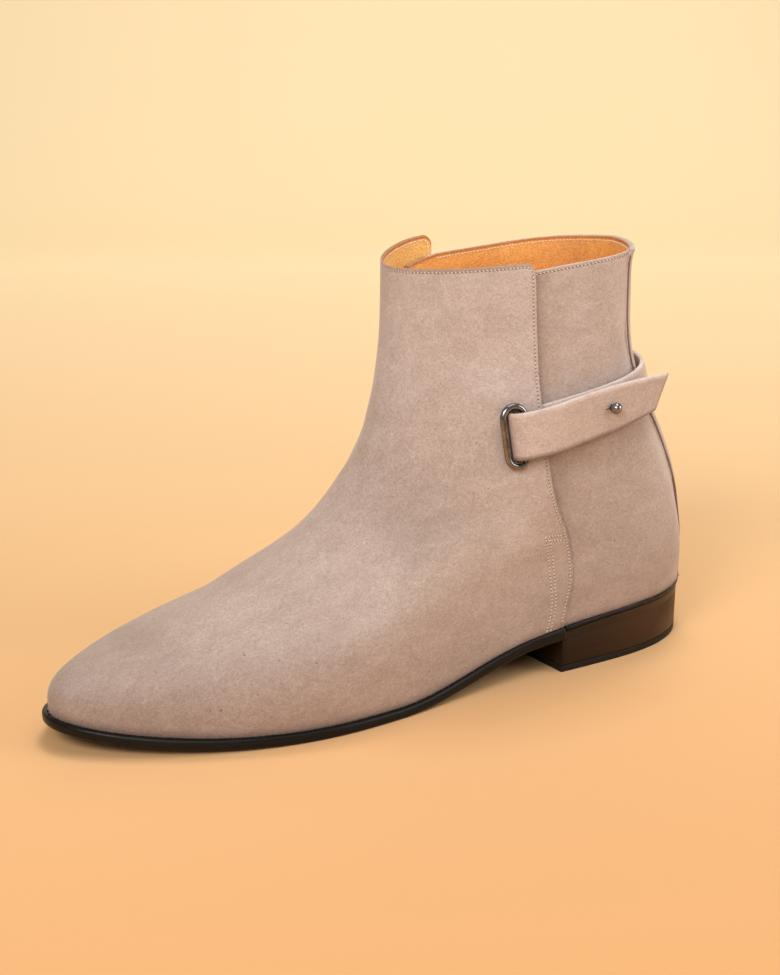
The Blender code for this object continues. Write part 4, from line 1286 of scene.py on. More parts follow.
def strap_section(half_wide, half_thick):
    """Outline of the strap's section with rounded corners: (across, through) pairs."""
    outline = []
    for sign_u, sign_v, start in ((1, 1, 0.0), (-1, 1, 0.5), (-1, -1, 1.0), (1, -1, 1.5)):
        for k in range(STRAP_CORNER_STEPS + 1):
            angle = math.pi * (start + 0.5 * k / STRAP_CORNER_STEPS)
            u = sign_u * (half_wide - STRAP_CORNER) + STRAP_CORNER * math.cos(angle)
            v = sign_v * (half_thick - STRAP_CORNER) + STRAP_CORNER * math.sin(angle)
            outline.append((u, v))
        if sign_u == sign_v:
            side_u = np.linspace(outline[-1][0], -outline[-1][0], STRAP_FACE_STEPS + 1)[1:-1]
            outline += [(u, outline[-1][1]) for u in side_u]
    return np.array(outline)


def make_strap(material):
    middles, acrosses, thicks, widths, _ = strap_stations()
    rings = []
    tones = []
    back = unit(middles[-2] - middles[-1])
    from_tip = len(middles)
    for middle, across, thick, wide in zip(middles, acrosses, thicks, widths):
        from_tip -= 1
        outline = strap_section(wide / 2, STRAP_THICK / 2)
        ring = middle + outline[:, :1] * across + outline[:, 1:] * thick
        if from_tip < TIP_STEPS:
            lean = TIP_SLANT * (1 - from_tip / TIP_STEPS)
            ring = ring + back * lean * (0.5 - outline[:, :1] / wide)
        rings.append(ring)
        edge = wide / 2 - STRAP_CORNER - NEARLY
        tone = np.full(len(outline), falling(from_tip, *STRAP_TIP_TONE))
        tone[outline[:, 0] > edge] = STRAP_UPPER_EDGE_TONE
        # Painted shade along the lower edge
        tone[outline[:, 0] < -edge] = STRAP_LOWER_EDGE_SHADE
        tones.append(tone)
    rings = np.array(rings)
    rings = raised(rings, thicks[:, None, :], unevenness(rings))
    shape, faces = tube_mesh(rings)
    return add_piece("strap", shape, faces, material, "suede", ("strap",), np.concatenate(tones))


def stadium(wide, tall, steps):
    """Outline of a slot with round ends: (forward, up) pairs."""
    radius = wide / 2
    straight = tall / 2 - radius
    outline = []
    for start, lift in ((0.0, straight), (math.pi, -straight)):
        for k in range(steps + 1):
            angle = start + math.pi * k / steps
            outline.append((radius * math.cos(angle), lift + radius * math.sin(angle)))
    return np.array(outline)


def on_slot(outline, level):
    return SLOT_MIDDLE + outline[:, :1] * SLOT_FORWARD + outline[:, 1:] * SLOT_UP + SLOT_OUT * level


def cut_slot(*pieces):
    """Slot for the strap through the vamp and its lining."""
    outline = stadium(SLOT_WIDE, SLOT_TALL, SLOT_STEPS)
    levels = np.array([on_slot(outline, level) for level in (POCKET_FLOOR + GAP, SLOT_DEEP)])
    cutter = mesh_object("slot_cutter", *tube_mesh(levels))
    for piece in pieces:
        cut = piece.modifiers.new("slot", "BOOLEAN")
        cut.operation = "DIFFERENCE"
        cut.solver = "EXACT"
        cut.object = cutter
        keep_modified(piece)
    bpy.data.objects.remove(cutter, do_unlink=True)


def make_slot_ring(material):
    """Oblong ring of wire, a little flattened where it lies on the vamp."""
    level = POCKET_ROOF + VAMP_STEP + GAP + RING_WIRE / 2
    path = stadium(RING_WIDE - RING_WIRE, RING_TALL - RING_WIRE, RING_STEPS)
    line = on_slot(path, level)
    run = unit(np.roll(line, -1, 0) - np.roll(line, 1, 0))
    angles = np.linspace(0.0, 2 * math.pi, RING_SIDES, endpoint=False)
    over = np.sin(angles) * np.where(np.sin(angles) < 0.0, RING_FLAT, 1.0)
    rings = []
    for middle, way in zip(line, np.cross(run, SLOT_OUT)):
        section = np.cos(angles)[:, None] * way + over[:, None] * SLOT_OUT
        rings.append(middle + section * RING_WIRE / 2)
    faces = stacked_faces(len(line), RING_SIDES, closed=True)
    return add_piece("slot_ring", np.concatenate(rings), faces, material, "metal", ("slot_eyelet",))


def make_stud(material):
    """Turned ball stud with a short neck and a flange between the strap's layers."""
    *_, (centre, across, face) = strap_stations()
    foot = -STRAP_THICK / 2 - GAP - STUD_FLANGE_THICK
    ball = STUD_BALL / 2
    ball_middle = STRAP_THICK / 2 + STUD_STANDS
    profile = [(0.0, foot), (STUD_FLANGE / 2, foot), (STUD_FLANGE / 2, foot + STUD_FLANGE_THICK)]
    profile.append((STUD_NECK / 2, foot + STUD_FLANGE_THICK))
    meet = math.asin(STUD_NECK / 2 / ball)
    steps = STUD_STEPS // 2
    for k in range(steps):
        angle = meet + (math.pi - meet) * k / steps
        profile.append((ball * math.sin(angle), ball_middle - ball * math.cos(angle)))
    profile.append((0.0, ball_middle + ball))
    side = np.cross(face, across)
    points = [centre + face * profile[0][1]]
    for radius, height in profile[1:-1]:
        for angle in np.linspace(0.0, 2 * math.pi, STUD_STEPS, endpoint=False):
            spot = radius * (math.cos(angle) * across + math.sin(angle) * side)
            points.append(centre + spot + face * height)
    points.append(centre + face * profile[-1][1])
    faces = poled_faces(len(profile) - 2, STUD_STEPS)
    return add_piece("ball_stud", np.array(points), faces, material, "metal", ("stud",))


def make_slit(material):
    """Dark sheet painted as the shade in the slit of the strap's outer layer, from the stud towards the fold.
    """
    *_, (centre, across, face) = strap_stations()
    ahead = np.cross(across, face)
    ahead = ahead * np.sign(ahead[1])
    outline = []
    for angle in np.linspace(SLIT_MOUTH, 2 * math.pi - SLIT_MOUTH, SLIT_STEPS):
        outline.append((SLIT_HOLE * math.cos(angle), SLIT_HOLE * math.sin(angle)))
    for share, side in SLIT_OUTLINE:
        outline.append((SLIT_LONG * share, side * SLIT_HALF * (SLIT_FLARE - share)))
    outline = np.array(outline)
    spots = centre + outline[:, :1] * ahead + outline[:, 1:] * across + face * STRAP_THICK / 2
    spots = raised(spots, -face, unevenness(spots))
    points, faces = tube_mesh(np.stack((spots - face * SLIT_SINK, spots + face * SLIT_STAND)))
    return add_piece("stud_slit_shade", points, faces, material, "suede")


# Sole, heel and insole

def ledge(place):
    return np.interp(place, SOLE_LEDGE[:, 0], SOLE_LEDGE[:, 1])


def plan_turns():
    """Turns round the feather line from the back, lateral side first, with a close pair before the rand."""
    halves = []
    for side in SIDES:
        step = [turn_at_place(side, place, 0.0) for place in (SEAT_FRONT, SEAT_FRONT + SEAT_STEP)]
        even = np.linspace(0.0, HALF_TURN, SOLE_HALF + 1)
        halves.append(side * np.sort(np.concatenate((even, np.abs(step)))))
    return np.concatenate((halves[0], halves[1][-2:0:-1]))


PLAN_TURNS = plan_turns()
PLAN_PLACES = last(PLAN_TURNS, 0.0)[:, 1]


def plan_ring(out):
    """Plan outline of the feather line moved outwards."""
    points = last(PLAN_TURNS, 0.0)
    normals = outward(PLAN_TURNS, 0.0)
    return points[:, :2] + normals[:, :2] * np.reshape(out, (-1, 1))


def ring_stack(rings, crown=0.0):
    """Points and faces of a solid from stacked outlines. Its two ends are closed by grids."""
    count = len(rings[0])
    half = count // 2
    points = [np.concatenate(rings)]
    faces = stacked_faces(len(rings), count)
    start = len(rings) * count
    for base, sign in ((0, 0.0), ((len(rings) - 1) * count, 1.0)):
        ring = rings[0] if base == 0 else rings[-1]
        lines = [[base] * (SOLE_ACROSS + 1)]
        for i in range(1, half):
            left = ring[i]
            right = ring[count - i]
            shares = np.linspace(0.0, 1.0, SOLE_ACROSS + 1)[1:-1, None]
            between = left + (right - left) * shares
            between[:, 2] += sign * crown * (1 - (2 * shares[:, 0] - 1) ** 2)
            points.append(between)
            lines.append([base + i, *range(start, start + SOLE_ACROSS - 1), base + count - i])
            start += SOLE_ACROSS - 1
        lines.append([base + half] * (SOLE_ACROSS + 1))
        for line, following in zip(lines, lines[1:]):
            for c in range(SOLE_ACROSS):
                corners = (line[c], line[c + 1], following[c + 1], following[c])
                faces.append(tuple(dict.fromkeys(corners)))
    return np.concatenate(points), faces


def make_outsole(material):
    rings = []
    seat = PLAN_PLACES < SEAT_FRONT + SEAT_STEP / 2
    for share, inset, seat_share, seat_inset in SOLE_EDGE:
        outline = plan_ring(ledge(PLAN_PLACES) - np.where(seat, seat_inset, inset))
        low = sole_bottom(outline[:, 1])
        thick = sole_height(outline[:, 1]) + SOLE_THICK - GAP - low
        rings.append(np.column_stack((outline, low + np.where(seat, seat_share, share) * thick)))
    points, faces = ring_stack(rings)
    tone = np.zeros(len(points))
    # Seat edge brown like the heel, darker towards its front as painted shade
    tone[: len(rings) * len(seat)] = np.tile(seat * heel_brown_front_shaded(PLAN_PLACES, SEAT_SHADED_BROWN), len(rings))
    return add_piece("outsole", points, faces, material, "sole_leather", ("outsole",), tone)


def make_sock(material):
    """Leather sock that covers the insole, with a soft edge and a slight crown."""
    rings = []
    for up, inset in SOCK_EDGE:
        outline = plan_ring(-(WALL + INSOLE_GAP) - inset)
        rings.append(np.column_stack((outline, sole_height(outline[:, 1]) + SOLE_THICK + up)))
    points, faces = ring_stack(rings, SOCK_CROWN)
    return add_piece("insole_sock", points, faces, material, "lining_leather", ("insole",))


def heel_outline(taper):
    """Outline of the heel from the back, lateral side first, drawn in by a share of its taper."""
    sides = []
    for side in SIDES:
        end = turn_at_place(side, HEEL_BREAST, 0.0)
        turns = np.linspace(0.0, end, HEEL_HALF + 1)
        points = last(turns, 0.0)[:, :2]
        normals = outward(turns, 0.0)[:, :2]
        points = points + normals * (ledge(points[:, 1]) - HEEL_INSET)[:, None]
        points[-1, 1] = HEEL_BREAST
        draw_x = normals[:, 0] * HEEL_TAPER_SIDE
        draw_y = np.minimum(normals[:, 1], 0.0) * HEEL_TAPER_BACK
        sides.append(points - np.stack((draw_x, draw_y), 1) * taper)
    return np.concatenate((sides[0], sides[1][:0:-1]))


def heel_mesh(levels):
    """Heel lift from levels of (taper share, height function)."""
    rings = []
    for taper, height in levels:
        outline = heel_outline(taper)
        rings.append(np.column_stack((outline, height(outline[:, 1]))))
    count = len(rings[0])
    faces = stacked_faces(len(levels), count)
    for base in (0, (len(levels) - 1) * count):
        for i in range(HEEL_HALF):
            corners = (i, i + 1, count - i - 1, (count - i) % count)
            faces.append(tuple(base + c for c in dict.fromkeys(corners)))
    return np.concatenate(rings), faces


def soften_edges(piece, width):
    """Rounds the piece's sharp edges."""
    bevel = piece.modifiers.new("soft_edges", "BEVEL")
    bevel.width = width * MM
    bevel.segments = BEVEL_STEPS
    bevel.limit_method = "ANGLE"
    bevel.angle_limit = math.radians(BEVEL_ANGLE)
    keep_modified(piece)
    piece.data.set_sharp_from_angle(angle=math.radians(SHARP_ANGLE))


def heel_brown_front_shaded(places, front):
    """Brown share along the heel, from the given one at its front to all brown at the back.
    The front is darker as painted shade.
    """
    return front + (1 - front) * soft_step((HEEL_BREAST - places) / FRONT_SHADE_WAY)


def make_heel(stack, rubber):
    foot = HEEL_CAP_THICK + GAP
    levels = []
    for share in (0.0, 0.5, 1.0):
        def height(place, share=share):
            return foot + (sole_bottom(place) - HEEL_SEAT_GAP - foot) * share
        levels.append((BLOCK_FOOT_TAPER * (1 - share), height))
    points, faces = heel_mesh(levels)
    # Painted shade: the breast is black and the heel darker towards it
    shaded_breast = points[:, 1] > HEEL_BREAST - NEARLY
    tone = np.where(shaded_breast, 0.0, heel_brown_front_shaded(points[:, 1], HEEL_SHADED_BROWN))
    block = add_piece("heel_block", points, faces, stack, "heel_stack", ("heel",), tone)
    soften_edges(block, HEEL_SOFT_EDGE)
    cap_levels = (
        (1.0, lambda place: np.zeros_like(place)),
        (CAP_TOP_TAPER, lambda place: np.full_like(place, HEEL_CAP_THICK)),
    )
    points, faces = heel_mesh(cap_levels)
    cap = add_piece("heel_top_lift", points, faces, rubber, "heel_rubber", ("heel_cap",))
    soften_edges(cap, CAP_SOFT_EDGE)


def make_rand(material):
    """Strip round the heel seat, lying in the step of the outsole's edge under the upper."""
    start = turn_at_place(-1, RAND_FRONT, 0.0)
    end = turn_at_place(1, RAND_FRONT, 0.0)
    turns = np.linspace(start, end, 4 * HEEL_HALF + 1)
    feather = last(turns, 0.0)
    normals = outward(turns, np.zeros_like(turns))
    face = ledge(feather[:, 1])
    sections = []
    for share, behind in RAND_SECTION:
        section = raised(feather, normals, face - behind)
        section[:, 2] -= GAP + RAND_TALL * share
        sections.append(section)
    points, faces = tube_mesh(np.stack(sections, 1))
    return add_piece("heel_rand_strip", points, faces, material, "sole_leather", ("heel_rand",))


# Stitching

class Row:
    """Stitches at an even pitch along a path: their places, the way each one runs, and its outward way."""

    def __init__(self, path, normals, pitch):
        way = path_way(path)
        count = max(2, int(way[-1] / pitch))
        wanted = (np.arange(count) + 0.5) * way[-1] / count
        run = along_path(wanted + RUN_REACH, way, path) - along_path(wanted - RUN_REACH, way, path)
        self.spots = along_path(wanted, way, path)
        self.runs = unit(run)
        self.normals = unit(along_path(wanted, way, normals))


def thread_template():
    """Plump thread along X, of half length 1 and radius 1: points and faces."""
    points = [(-1.0, 0.0, 0.0)]
    for x, radius in THREAD_RINGS:
        for k in range(THREAD_SIDES):
            angle = 2 * math.pi * k / THREAD_SIDES
            points.append((x, radius * math.cos(angle), radius * math.sin(angle)))
    points.append((1.0, 0.0, 0.0))
    return np.array(points), poled_faces(len(THREAD_RINGS), THREAD_SIDES)


def make_threads(name, rows, long, radius, sink, shift, material, slot):
    """One joined mesh with a plump thread, or a dark blob painted as a needle hole's shade, at each stitch of
    the rows.
    """
    template, faces = thread_template()
    threads = []
    for row in rows:
        asides = np.cross(row.normals, row.runs)
        for spot, run, aside, normal in zip(row.spots, row.runs, asides, row.normals):
            turned = run * math.cos(THREAD_TWIST) + aside * math.sin(THREAD_TWIST)
            sideways = np.cross(normal, turned)
            points = spot + run * shift - normal * sink + template[:, :1] * turned * long / 2
            points = points + template[:, 1:2] * sideways * radius
            points = points + template[:, 2:] * normal * radius * THREAD_FLAT
            threads.append((points, faces))
    return add_piece(name, *joined(threads), material, slot)


def vamp_spot(side, turn, row, sink):
    """Points and outward directions on the vamp's outer face, pulled in by a depth."""
    points, normals, face, _, _ = vamp_layers(side, turn, row)
    relief = unevenness(points) - crease_depth(points) - sink
    return raised(points, normals, face + relief), normals


def lining_spot(side, turn, row, below):
    """Points and inward directions on the vamp's lining."""
    points, normals, face, back, _ = vamp_layers(side, turn, row)
    return raised(points, normals, skived(face, back, below)), -normals


def edge_path(side, low, inset, inside):
    """Row along the vamp's rear edge, round its corner and along the collar."""
    radius = VAMP_CORNER_RADIUS - inset + CORNER_EASE
    top = VAMP_CORNER_TOP[side]
    bend = top - inset - radius
    spots = [(inset, z) for z in np.linspace(low, bend, EDGE_PATH_STEPS)]
    for k in range(1, CORNER_STEPS + 1):
        angle = 0.5 * math.pi * k / CORNER_STEPS
        spots.append((inset + radius * (1 - math.cos(angle)), bend + radius * math.sin(angle)))
    turns = []
    rows = []
    row = 0.0
    for distance, height in spots:
        for _ in range(CLOSE_ROUNDS):
            turn = float(off_edge(side, np.array(distance), np.array(row)))
            row = float(row_at_height(turn, height))
        turns.append(turn)
        rows.append(row)
    edge_top = float(edge_turn(side, TOP_ROW))
    below = [top - height for _, height in spots]
    for turn in np.linspace(turns[-1], side * HALF_TURN, VAMP_COLLAR_STEPS)[1:]:
        share = (turn - edge_top) / (side * HALF_TURN - edge_top)
        turns.append(turn)
        rows.append(float(row_at_height(turn, vamp_top(side, share) - inset)))
        below.append(inset)
    turns = np.array(turns)
    rows = np.array(rows)
    if inside:
        return lining_spot(side, turns, rows, np.array(below))
    return vamp_spot(side, turns, rows, THREAD_SINK)


def quarter_collar_path(inset, inside):
    """Row along the quarter's collar, over the back strip."""
    turns = np.linspace(edge_turn(-1, TOP_ROW), edge_turn(1, TOP_ROW), QUARTER_COLLAR_STEPS)
    rows = rows_at_heights(turns, quarter_rim(turns) - inset)
    points = last(turns, rows)
    normals = outward(turns, rows)
    if inside:
        return raised(points, normals, skived(0.0, -WALL, inset)), -normals
    heights = points[:, 2]
    relief = unevenness(points) - crease_depth(points) - THREAD_SINK - back_recess(turns, rows, heights)
    over_strip = from_back(turns, rows) < strip_half(heights)
    relief = relief + np.where(over_strip, BACK_STRIP_THICK + THREAD_SINK, 0.0)
    return raised(points, normals, relief), normals


def on_vamp_at(side, place, height):
    """Turn and row where the vamp has a place from the heel and a height."""
    row = 1.0
    for _ in range(SEARCH_ROUNDS):
        turn = float(turn_at_place(side, place, row))
        row = float(row_at_height(turn, height))
    return turn, row


def box_paths(side):
    """Two rows down the front of the stitched box and two along its top."""
    heights = np.linspace(BOX_FRONT[0, 1], BOX_FRONT[-1, 1], BOX_FRONT_STEPS)
    front = table_curve(BOX_FRONT[::-1, ::-1], heights)
    places = np.linspace(BOX_FRONT[0, 0], BOX_TOP_REAR[0], BOX_TOP_STEPS)
    levels = np.linspace(BOX_FRONT[0, 1], BOX_TOP_REAR[1], BOX_TOP_STEPS)
    lines = [(front - shift, heights) for shift in (0.0, ROW_APART)]
    lines += [(places, levels - drop) for drop in (0.0, ROW_APART)]
    paths = []
    for line in lines:
        found = [on_vamp_at(side, place, height) for place, height in zip(*line)]
        paths.append(vamp_spot(side, *np.array(found).T, 0.0))
    return paths


def make_stitching(thread, pale_thread, hole_shade):
    outside = []
    inside = []
    foot = sole_height(VAMP_EDGE[0, 1]) + SOLE_THICK + SEAM_FOOT
    for side in SIDES:
        outside.append(Row(*edge_path(side, foot, SEAM_INSET, False), EDGE_PITCH))
        inside.append(Row(*edge_path(side, LINING_SEAM_FOOT, LINING_SEAM_INSET, True), EDGE_PITCH))
        outside += [Row(*path, EDGE_PITCH) for path in box_paths(side)]
    outside.append(Row(*quarter_collar_path(SEAM_INSET, False), COLLAR_PITCH))
    inside.append(Row(*quarter_collar_path(LINING_SEAM_INSET, True), EDGE_PITCH))
    lining = (pale_thread, "lining_leather")
    make_threads("stitches", outside, THREAD_LONG, THREAD_RADIUS, 0.0, 0.0, thread, "suede")
    # Dark blobs painted as the shade in the needle holes
    make_threads("stitch_hole_shade", outside, HOLE_LONG, HOLE_RADIUS, HOLE_SINK, EDGE_PITCH / 2, hole_shade, "suede")
    make_threads("lining_stitches", inside, THREAD_LONG, LINING_THREAD_RADIUS, 0.0, 0.0, *lining)


def fibres(roots, ways):
    """Points of thin closed spikes, four to a fibre, with uneven lengths and leans."""
    spread = np.random.default_rng(5)
    ways = unit(ways + spread.normal(0.0, FIBRE_LEAN, ways.shape))
    aside = unit(np.cross(ways, spread.normal(0.0, 1.0, ways.shape)))
    other = np.cross(ways, aside)
    long = FIBRE_LONG * spread.uniform(*FIBRE_SHARES, (len(roots), 1))
    corners = []
    for angle in (0.0, 2.1, 4.2):
        corners.append(roots + (aside * math.cos(angle) + other * math.sin(angle)) * FIBRE_THICK / 2)
    return np.stack((*corners, roots + ways * long), 1)


def make_fuzz(material):
    """Loose fibres of the suede along the strap's lower edge, the vamp's rear edges and the sole, darkened as
    painted shade.
    """
    spread = np.random.default_rng(9)
    middles, acrosses, thicks, widths, _ = strap_stations()
    shares = spread.uniform(0.0, 1.0, STRAP_FIBRES) * (len(middles) - TIP_STEPS - 2)
    at = shares.astype(int)
    between = (shares - at)[:, None]
    along = middles[at + 1] - middles[at]
    roots = middles[at] + along * between
    roots = roots - acrosses[at] * (widths[at] / 2 - STRAP_FIBRE_SINK)[:, None]
    through = spread.uniform(-STRAP_FIBRE_SHARE, STRAP_FIBRE_SHARE, STRAP_FIBRES) * STRAP_THICK / 2
    groups = [fibres(raised(roots, thicks[at], through), -acrosses[at])]
    low_free, high_free = EDGE_FIBRE_FREE
    for side in SIDES:
        rows = spread.uniform(low_free, TOP_ROW - high_free, EDGE_FIBRES)
        turns = off_edge(side, EDGE_FIBRE_INSET, rows)
        points, normals = vamp_spot(side, turns, rows, EDGE_FIBRE_SINK)
        backwards = unit(last(turns - side * SLOPE_STEP, rows) - last(turns, rows))
        groups.append(fibres(points, backwards + EDGE_FIBRE_LEAN * normals))
    turns = spread.uniform(-HALF_TURN, HALF_TURN, SOLE_FIBRES)
    rows = np.full_like(turns, SOLE_FIBRE_ROW)
    normals = outward(turns, rows)
    down = np.array((0.0, 0.0, SOLE_FIBRE_LEAN))
    groups.append(fibres(last(turns, rows) - normals * SOLE_FIBRE_SINK, normals + down))
    points = np.concatenate(groups).reshape(-1, 3)
    faces = []
    for first in range(0, len(points), 4):
        a, b, c, tip = range(first, first + 4)
        faces += [(a, c, b), (a, b, tip), (b, c, tip), (c, a, tip)]
    return add_piece("suede_fibres", points, faces, material, "suede", (), np.full(len(points), FIBRE_SHADE))


# Materials

def add_node(tree, kind, inputs=(), **settings):
    """New node with its settings, and its inputs set or linked."""
    made = tree.nodes.new(kind)
    for key, value in settings.items():
        setattr(made, key, value)
    for socket, value in dict(inputs).items():
        if isinstance(value, bpy.types.NodeSocket):
            tree.links.new(value, made.inputs[socket])
        else:
            made.inputs[socket].default_value = value
    return made


def new_material(name, settings):
    material = bpy.data.materials.new(name)
    material.use_nodes = True
    shader = material.node_tree.nodes["Principled BSDF"]
    for socket, value in settings.items():
        shader.inputs[socket].default_value = value
    return material, material.node_tree, shader


def color_mix(tree, factor, first, second, blend="MIX"):
    sockets = {0: factor, 6: first, 7: second}
    return add_node(tree, "ShaderNodeMix", sockets, data_type="RGBA", blend_type=blend).outputs[2]


def ramp(tree, value, low, high, first=0.0, second=1.0):
    """Value stretched so that low becomes the first number and high the second."""
    sockets = {0: value, 1: low, 2: high, 3: first, 4: second}
    return add_node(tree, "ShaderNodeMapRange", sockets).outputs[0]


def color_between(tree, value, low, high, first, second):
    """First color where the value is low, second where it is high."""
    return color_mix(tree, ramp(tree, value, low, high), first, second)


def tinted(tree, color, tint):
    return color_mix(tree, 1.0, color, tint, "MULTIPLY")


def tone_value(tree):
    return add_node(tree, "ShaderNodeAttribute", attribute_name="tone").outputs["Fac"]


def toned(tree, color, dark, pale):
    """Color tinted dark where the tone is 1 and pale where it is -1."""
    tone = tone_value(tree)
    darker = tinted(tree, color, dark)
    paler = tinted(tree, color, pale)
    color = color_between(tree, tone, 0.0, 1.0, color, darker)
    return color_between(tree, tone, 0.0, -1.0, color, paler)


def finish_surface(tree, shader, color, wear=None, smooth=0.0, rough=1.0):
    """Links the color and, where a wear value is given, a roughness that follows it."""
    tree.links.new(color, shader.inputs["Base Color"])
    if wear is not None:
        tree.links.new(ramp(tree, wear, 0.3, 0.7, smooth, rough), shader.inputs["Roughness"])


def noise_value(tree, vector, scale, detail=3.0, rough=0.6, distortion=0.0):
    sockets = {"Vector": vector, "Scale": scale, "Detail": detail}
    sockets.update({"Roughness": rough, "Distortion": distortion})
    return add_node(tree, "ShaderNodeTexNoise", sockets).outputs[0]


def object_points(tree, stretch=(1.0, 1.0, 1.0)):
    where = add_node(tree, "ShaderNodeTexCoord")
    mapping = add_node(tree, "ShaderNodeMapping", {"Vector": where.outputs["Object"], "Scale": stretch})
    return mapping.outputs[0]


def add_bump(tree, shader, height, distance, strength=1.0):
    bump = add_node(tree, "ShaderNodeBump", {"Height": height, "Distance": distance, "Strength": strength})
    tree.links.new(bump.outputs[0], shader.inputs["Normal"])


def sum_values(tree, first, weight_first, second, weight_second):
    a = add_node(tree, "ShaderNodeMath", {0: first, 1: weight_first}, operation="MULTIPLY")
    b = add_node(tree, "ShaderNodeMath", {0: second, 1: weight_second}, operation="MULTIPLY")
    return add_node(tree, "ShaderNodeMath", {0: a.outputs[0], 1: b.outputs[0]}, operation="ADD").outputs[0]


def suede_material(name, deep, middle, light, nap_strength):
    """Napped suede: soft mottling, brushed patches, fine fibre grain and a few dark specks."""
    material, tree, shader = new_material(name, {
        "Roughness": 0.95,
        "Specular IOR Level": 0.15,
        "Sheen Weight": 0.36,
        "Sheen Roughness": 0.4,
        "Sheen Tint": (0.95, 0.84, 0.78, 1.0),
    })
    plain = object_points(tree)
    brushed = object_points(tree, (1.0, 0.45, 0.8))
    patches = noise_value(tree, brushed, 32.0, 3.0, 0.5, 0.5)
    nap = noise_value(tree, brushed, 1050.0, 3.0, 0.6, 0.5)
    grain = noise_value(tree, plain, 1500.0, 2.0, 0.6)
    strokes = noise_value(tree, brushed, 150.0, 4.0, 0.62, 0.6)
    specks = noise_value(tree, plain, 620.0, 1.0, 0.4)
    color = color_between(tree, patches, 0.3, 0.7, middle, light)
    color = color_between(tree, nap, 0.8, 0.2, color, deep)
    fine = color_between(tree, grain, 0.25, 0.75, (0.82, 0.82, 0.82, 1.0), (1.18, 1.18, 1.18, 1.0))
    mottle = color_between(tree, strokes, 0.3, 0.7, (0.94, 0.93, 0.92, 1.0), (1.10, 1.11, 1.12, 1.0))
    color = tinted(tree, tinted(tree, color, fine), mottle)
    color = color_between(tree, specks, 0.79, 0.82, color, (0.16, 0.10, 0.08, 1.0))
    # The tone carries painted light and shade as well as the suede's own tone
    color = toned(tree, color, (0.50, 0.45, 0.43, 1.0), (1.26, 1.36, 1.46, 1.0))
    finish_surface(tree, shader, color)
    add_bump(tree, shader, sum_values(tree, grain, 0.45, nap, 0.55), 0.0009, nap_strength)
    return material


def lining_material():
    """Smooth tan lining leather with a fine grain and darker handling marks."""
    material, tree, shader = new_material("lining_leather", {"Specular IOR Level": 0.4, "Sheen Weight": 0.1})
    where = object_points(tree)
    patches = noise_value(tree, where, 45.0, 4.0, 0.6, 0.6)
    grain = noise_value(tree, where, 900.0, 3.0, 0.6)
    cells = {"Vector": where, "Scale": 850.0}
    pores = add_node(tree, "ShaderNodeTexVoronoi", cells, feature="DISTANCE_TO_EDGE").outputs["Distance"]
    color = color_between(tree, patches, 0.3, 0.7, (0.84, 0.345, 0.072, 1.0), (0.96, 0.46, 0.125, 1.0))
    color = color_between(tree, grain, 0.62, 0.3, color, (0.72, 0.27, 0.045, 1.0))
    # Darker where the tone is high, paler where painted light lies on the medial tab
    color = toned(tree, color, (0.55, 0.42, 0.40, 1.0), (1.12, 1.42, 1.7, 1.0))
    finish_surface(tree, shader, color, patches, 0.45, 0.62)
    add_bump(tree, shader, ramp(tree, pores, 0.0, 0.2), 0.0002, 0.5)
    return material


def edge_material(name, deep, warm, brown, rough, coat):
    """Dressed dark leather: faint lengthwise streaks, uneven polish, a thin coat, brown where tone is 1."""
    settings = {"Specular IOR Level": 0.15, "Coat Weight": coat, "Coat Roughness": 0.22}
    material, tree, shader = new_material(name, settings)
    streaks = noise_value(tree, object_points(tree, (1.0, 0.12, 5.0)), 260.0, 4.0, 0.6)
    patches = noise_value(tree, object_points(tree), 60.0, 3.0, 0.6)
    color = color_between(tree, streaks, 0.3, 0.75, deep, warm)
    color = color_between(tree, tone_value(tree), 0.0, 1.0, color, brown)
    finish_surface(tree, shader, color, patches, rough - 0.08, rough + 0.1)
    add_bump(tree, shader, streaks, 0.0002, 0.35)
    return material


def rubber_material():
    material, tree, shader = new_material("top_lift_rubber", {"Specular IOR Level": 0.15})
    grain = noise_value(tree, object_points(tree), 900.0, 3.0, 0.6)
    dark = (0.008, 0.006, 0.0048, 1.0)
    light = (0.019, 0.0135, 0.0105, 1.0)
    finish_surface(tree, shader, color_between(tree, grain, 0.3, 0.7, dark, light), grain, 0.42, 0.6)
    add_bump(tree, shader, grain, 0.0002, 0.4)
    return material


def metal_material():
    """Polished gunmetal with faint wear."""
    material, tree, shader = new_material("gunmetal", {"Metallic": 1.0, "Specular IOR Level": 0.5})
    wear = noise_value(tree, object_points(tree), 420.0, 4.0, 0.6)
    dark = (0.20, 0.195, 0.19, 1.0)
    light = (0.34, 0.33, 0.325, 1.0)
    finish_surface(tree, shader, color_between(tree, wear, 0.35, 0.7, dark, light), wear, 0.14, 0.26)
    return material


def thread_material(name, deep, light):
    material, tree, shader = new_material(name, {"Roughness": 0.8, "Sheen Weight": 0.3})
    ply = noise_value(tree, object_points(tree), 1800.0, 2.0, 0.5)
    finish_surface(tree, shader, color_between(tree, ply, 0.3, 0.7, deep, light))
    add_bump(tree, shader, ply, 0.0002, 0.6)
    return material


# Stage, light and camera

def add_light(name, place, aim, size, power, color):
    light = bpy.data.lights.new(name, "AREA")
    light.shape = "DISK"
    light.size = size
    light.energy = power
    light.color = color
    lamp = bpy.data.objects.new(name, light)
    lamp.location = place
    lamp.rotation_euler = (Vector(aim) - Vector(place)).to_track_quat("-Z", "Y").to_euler()
    bpy.context.scene.collection.objects.link(lamp)


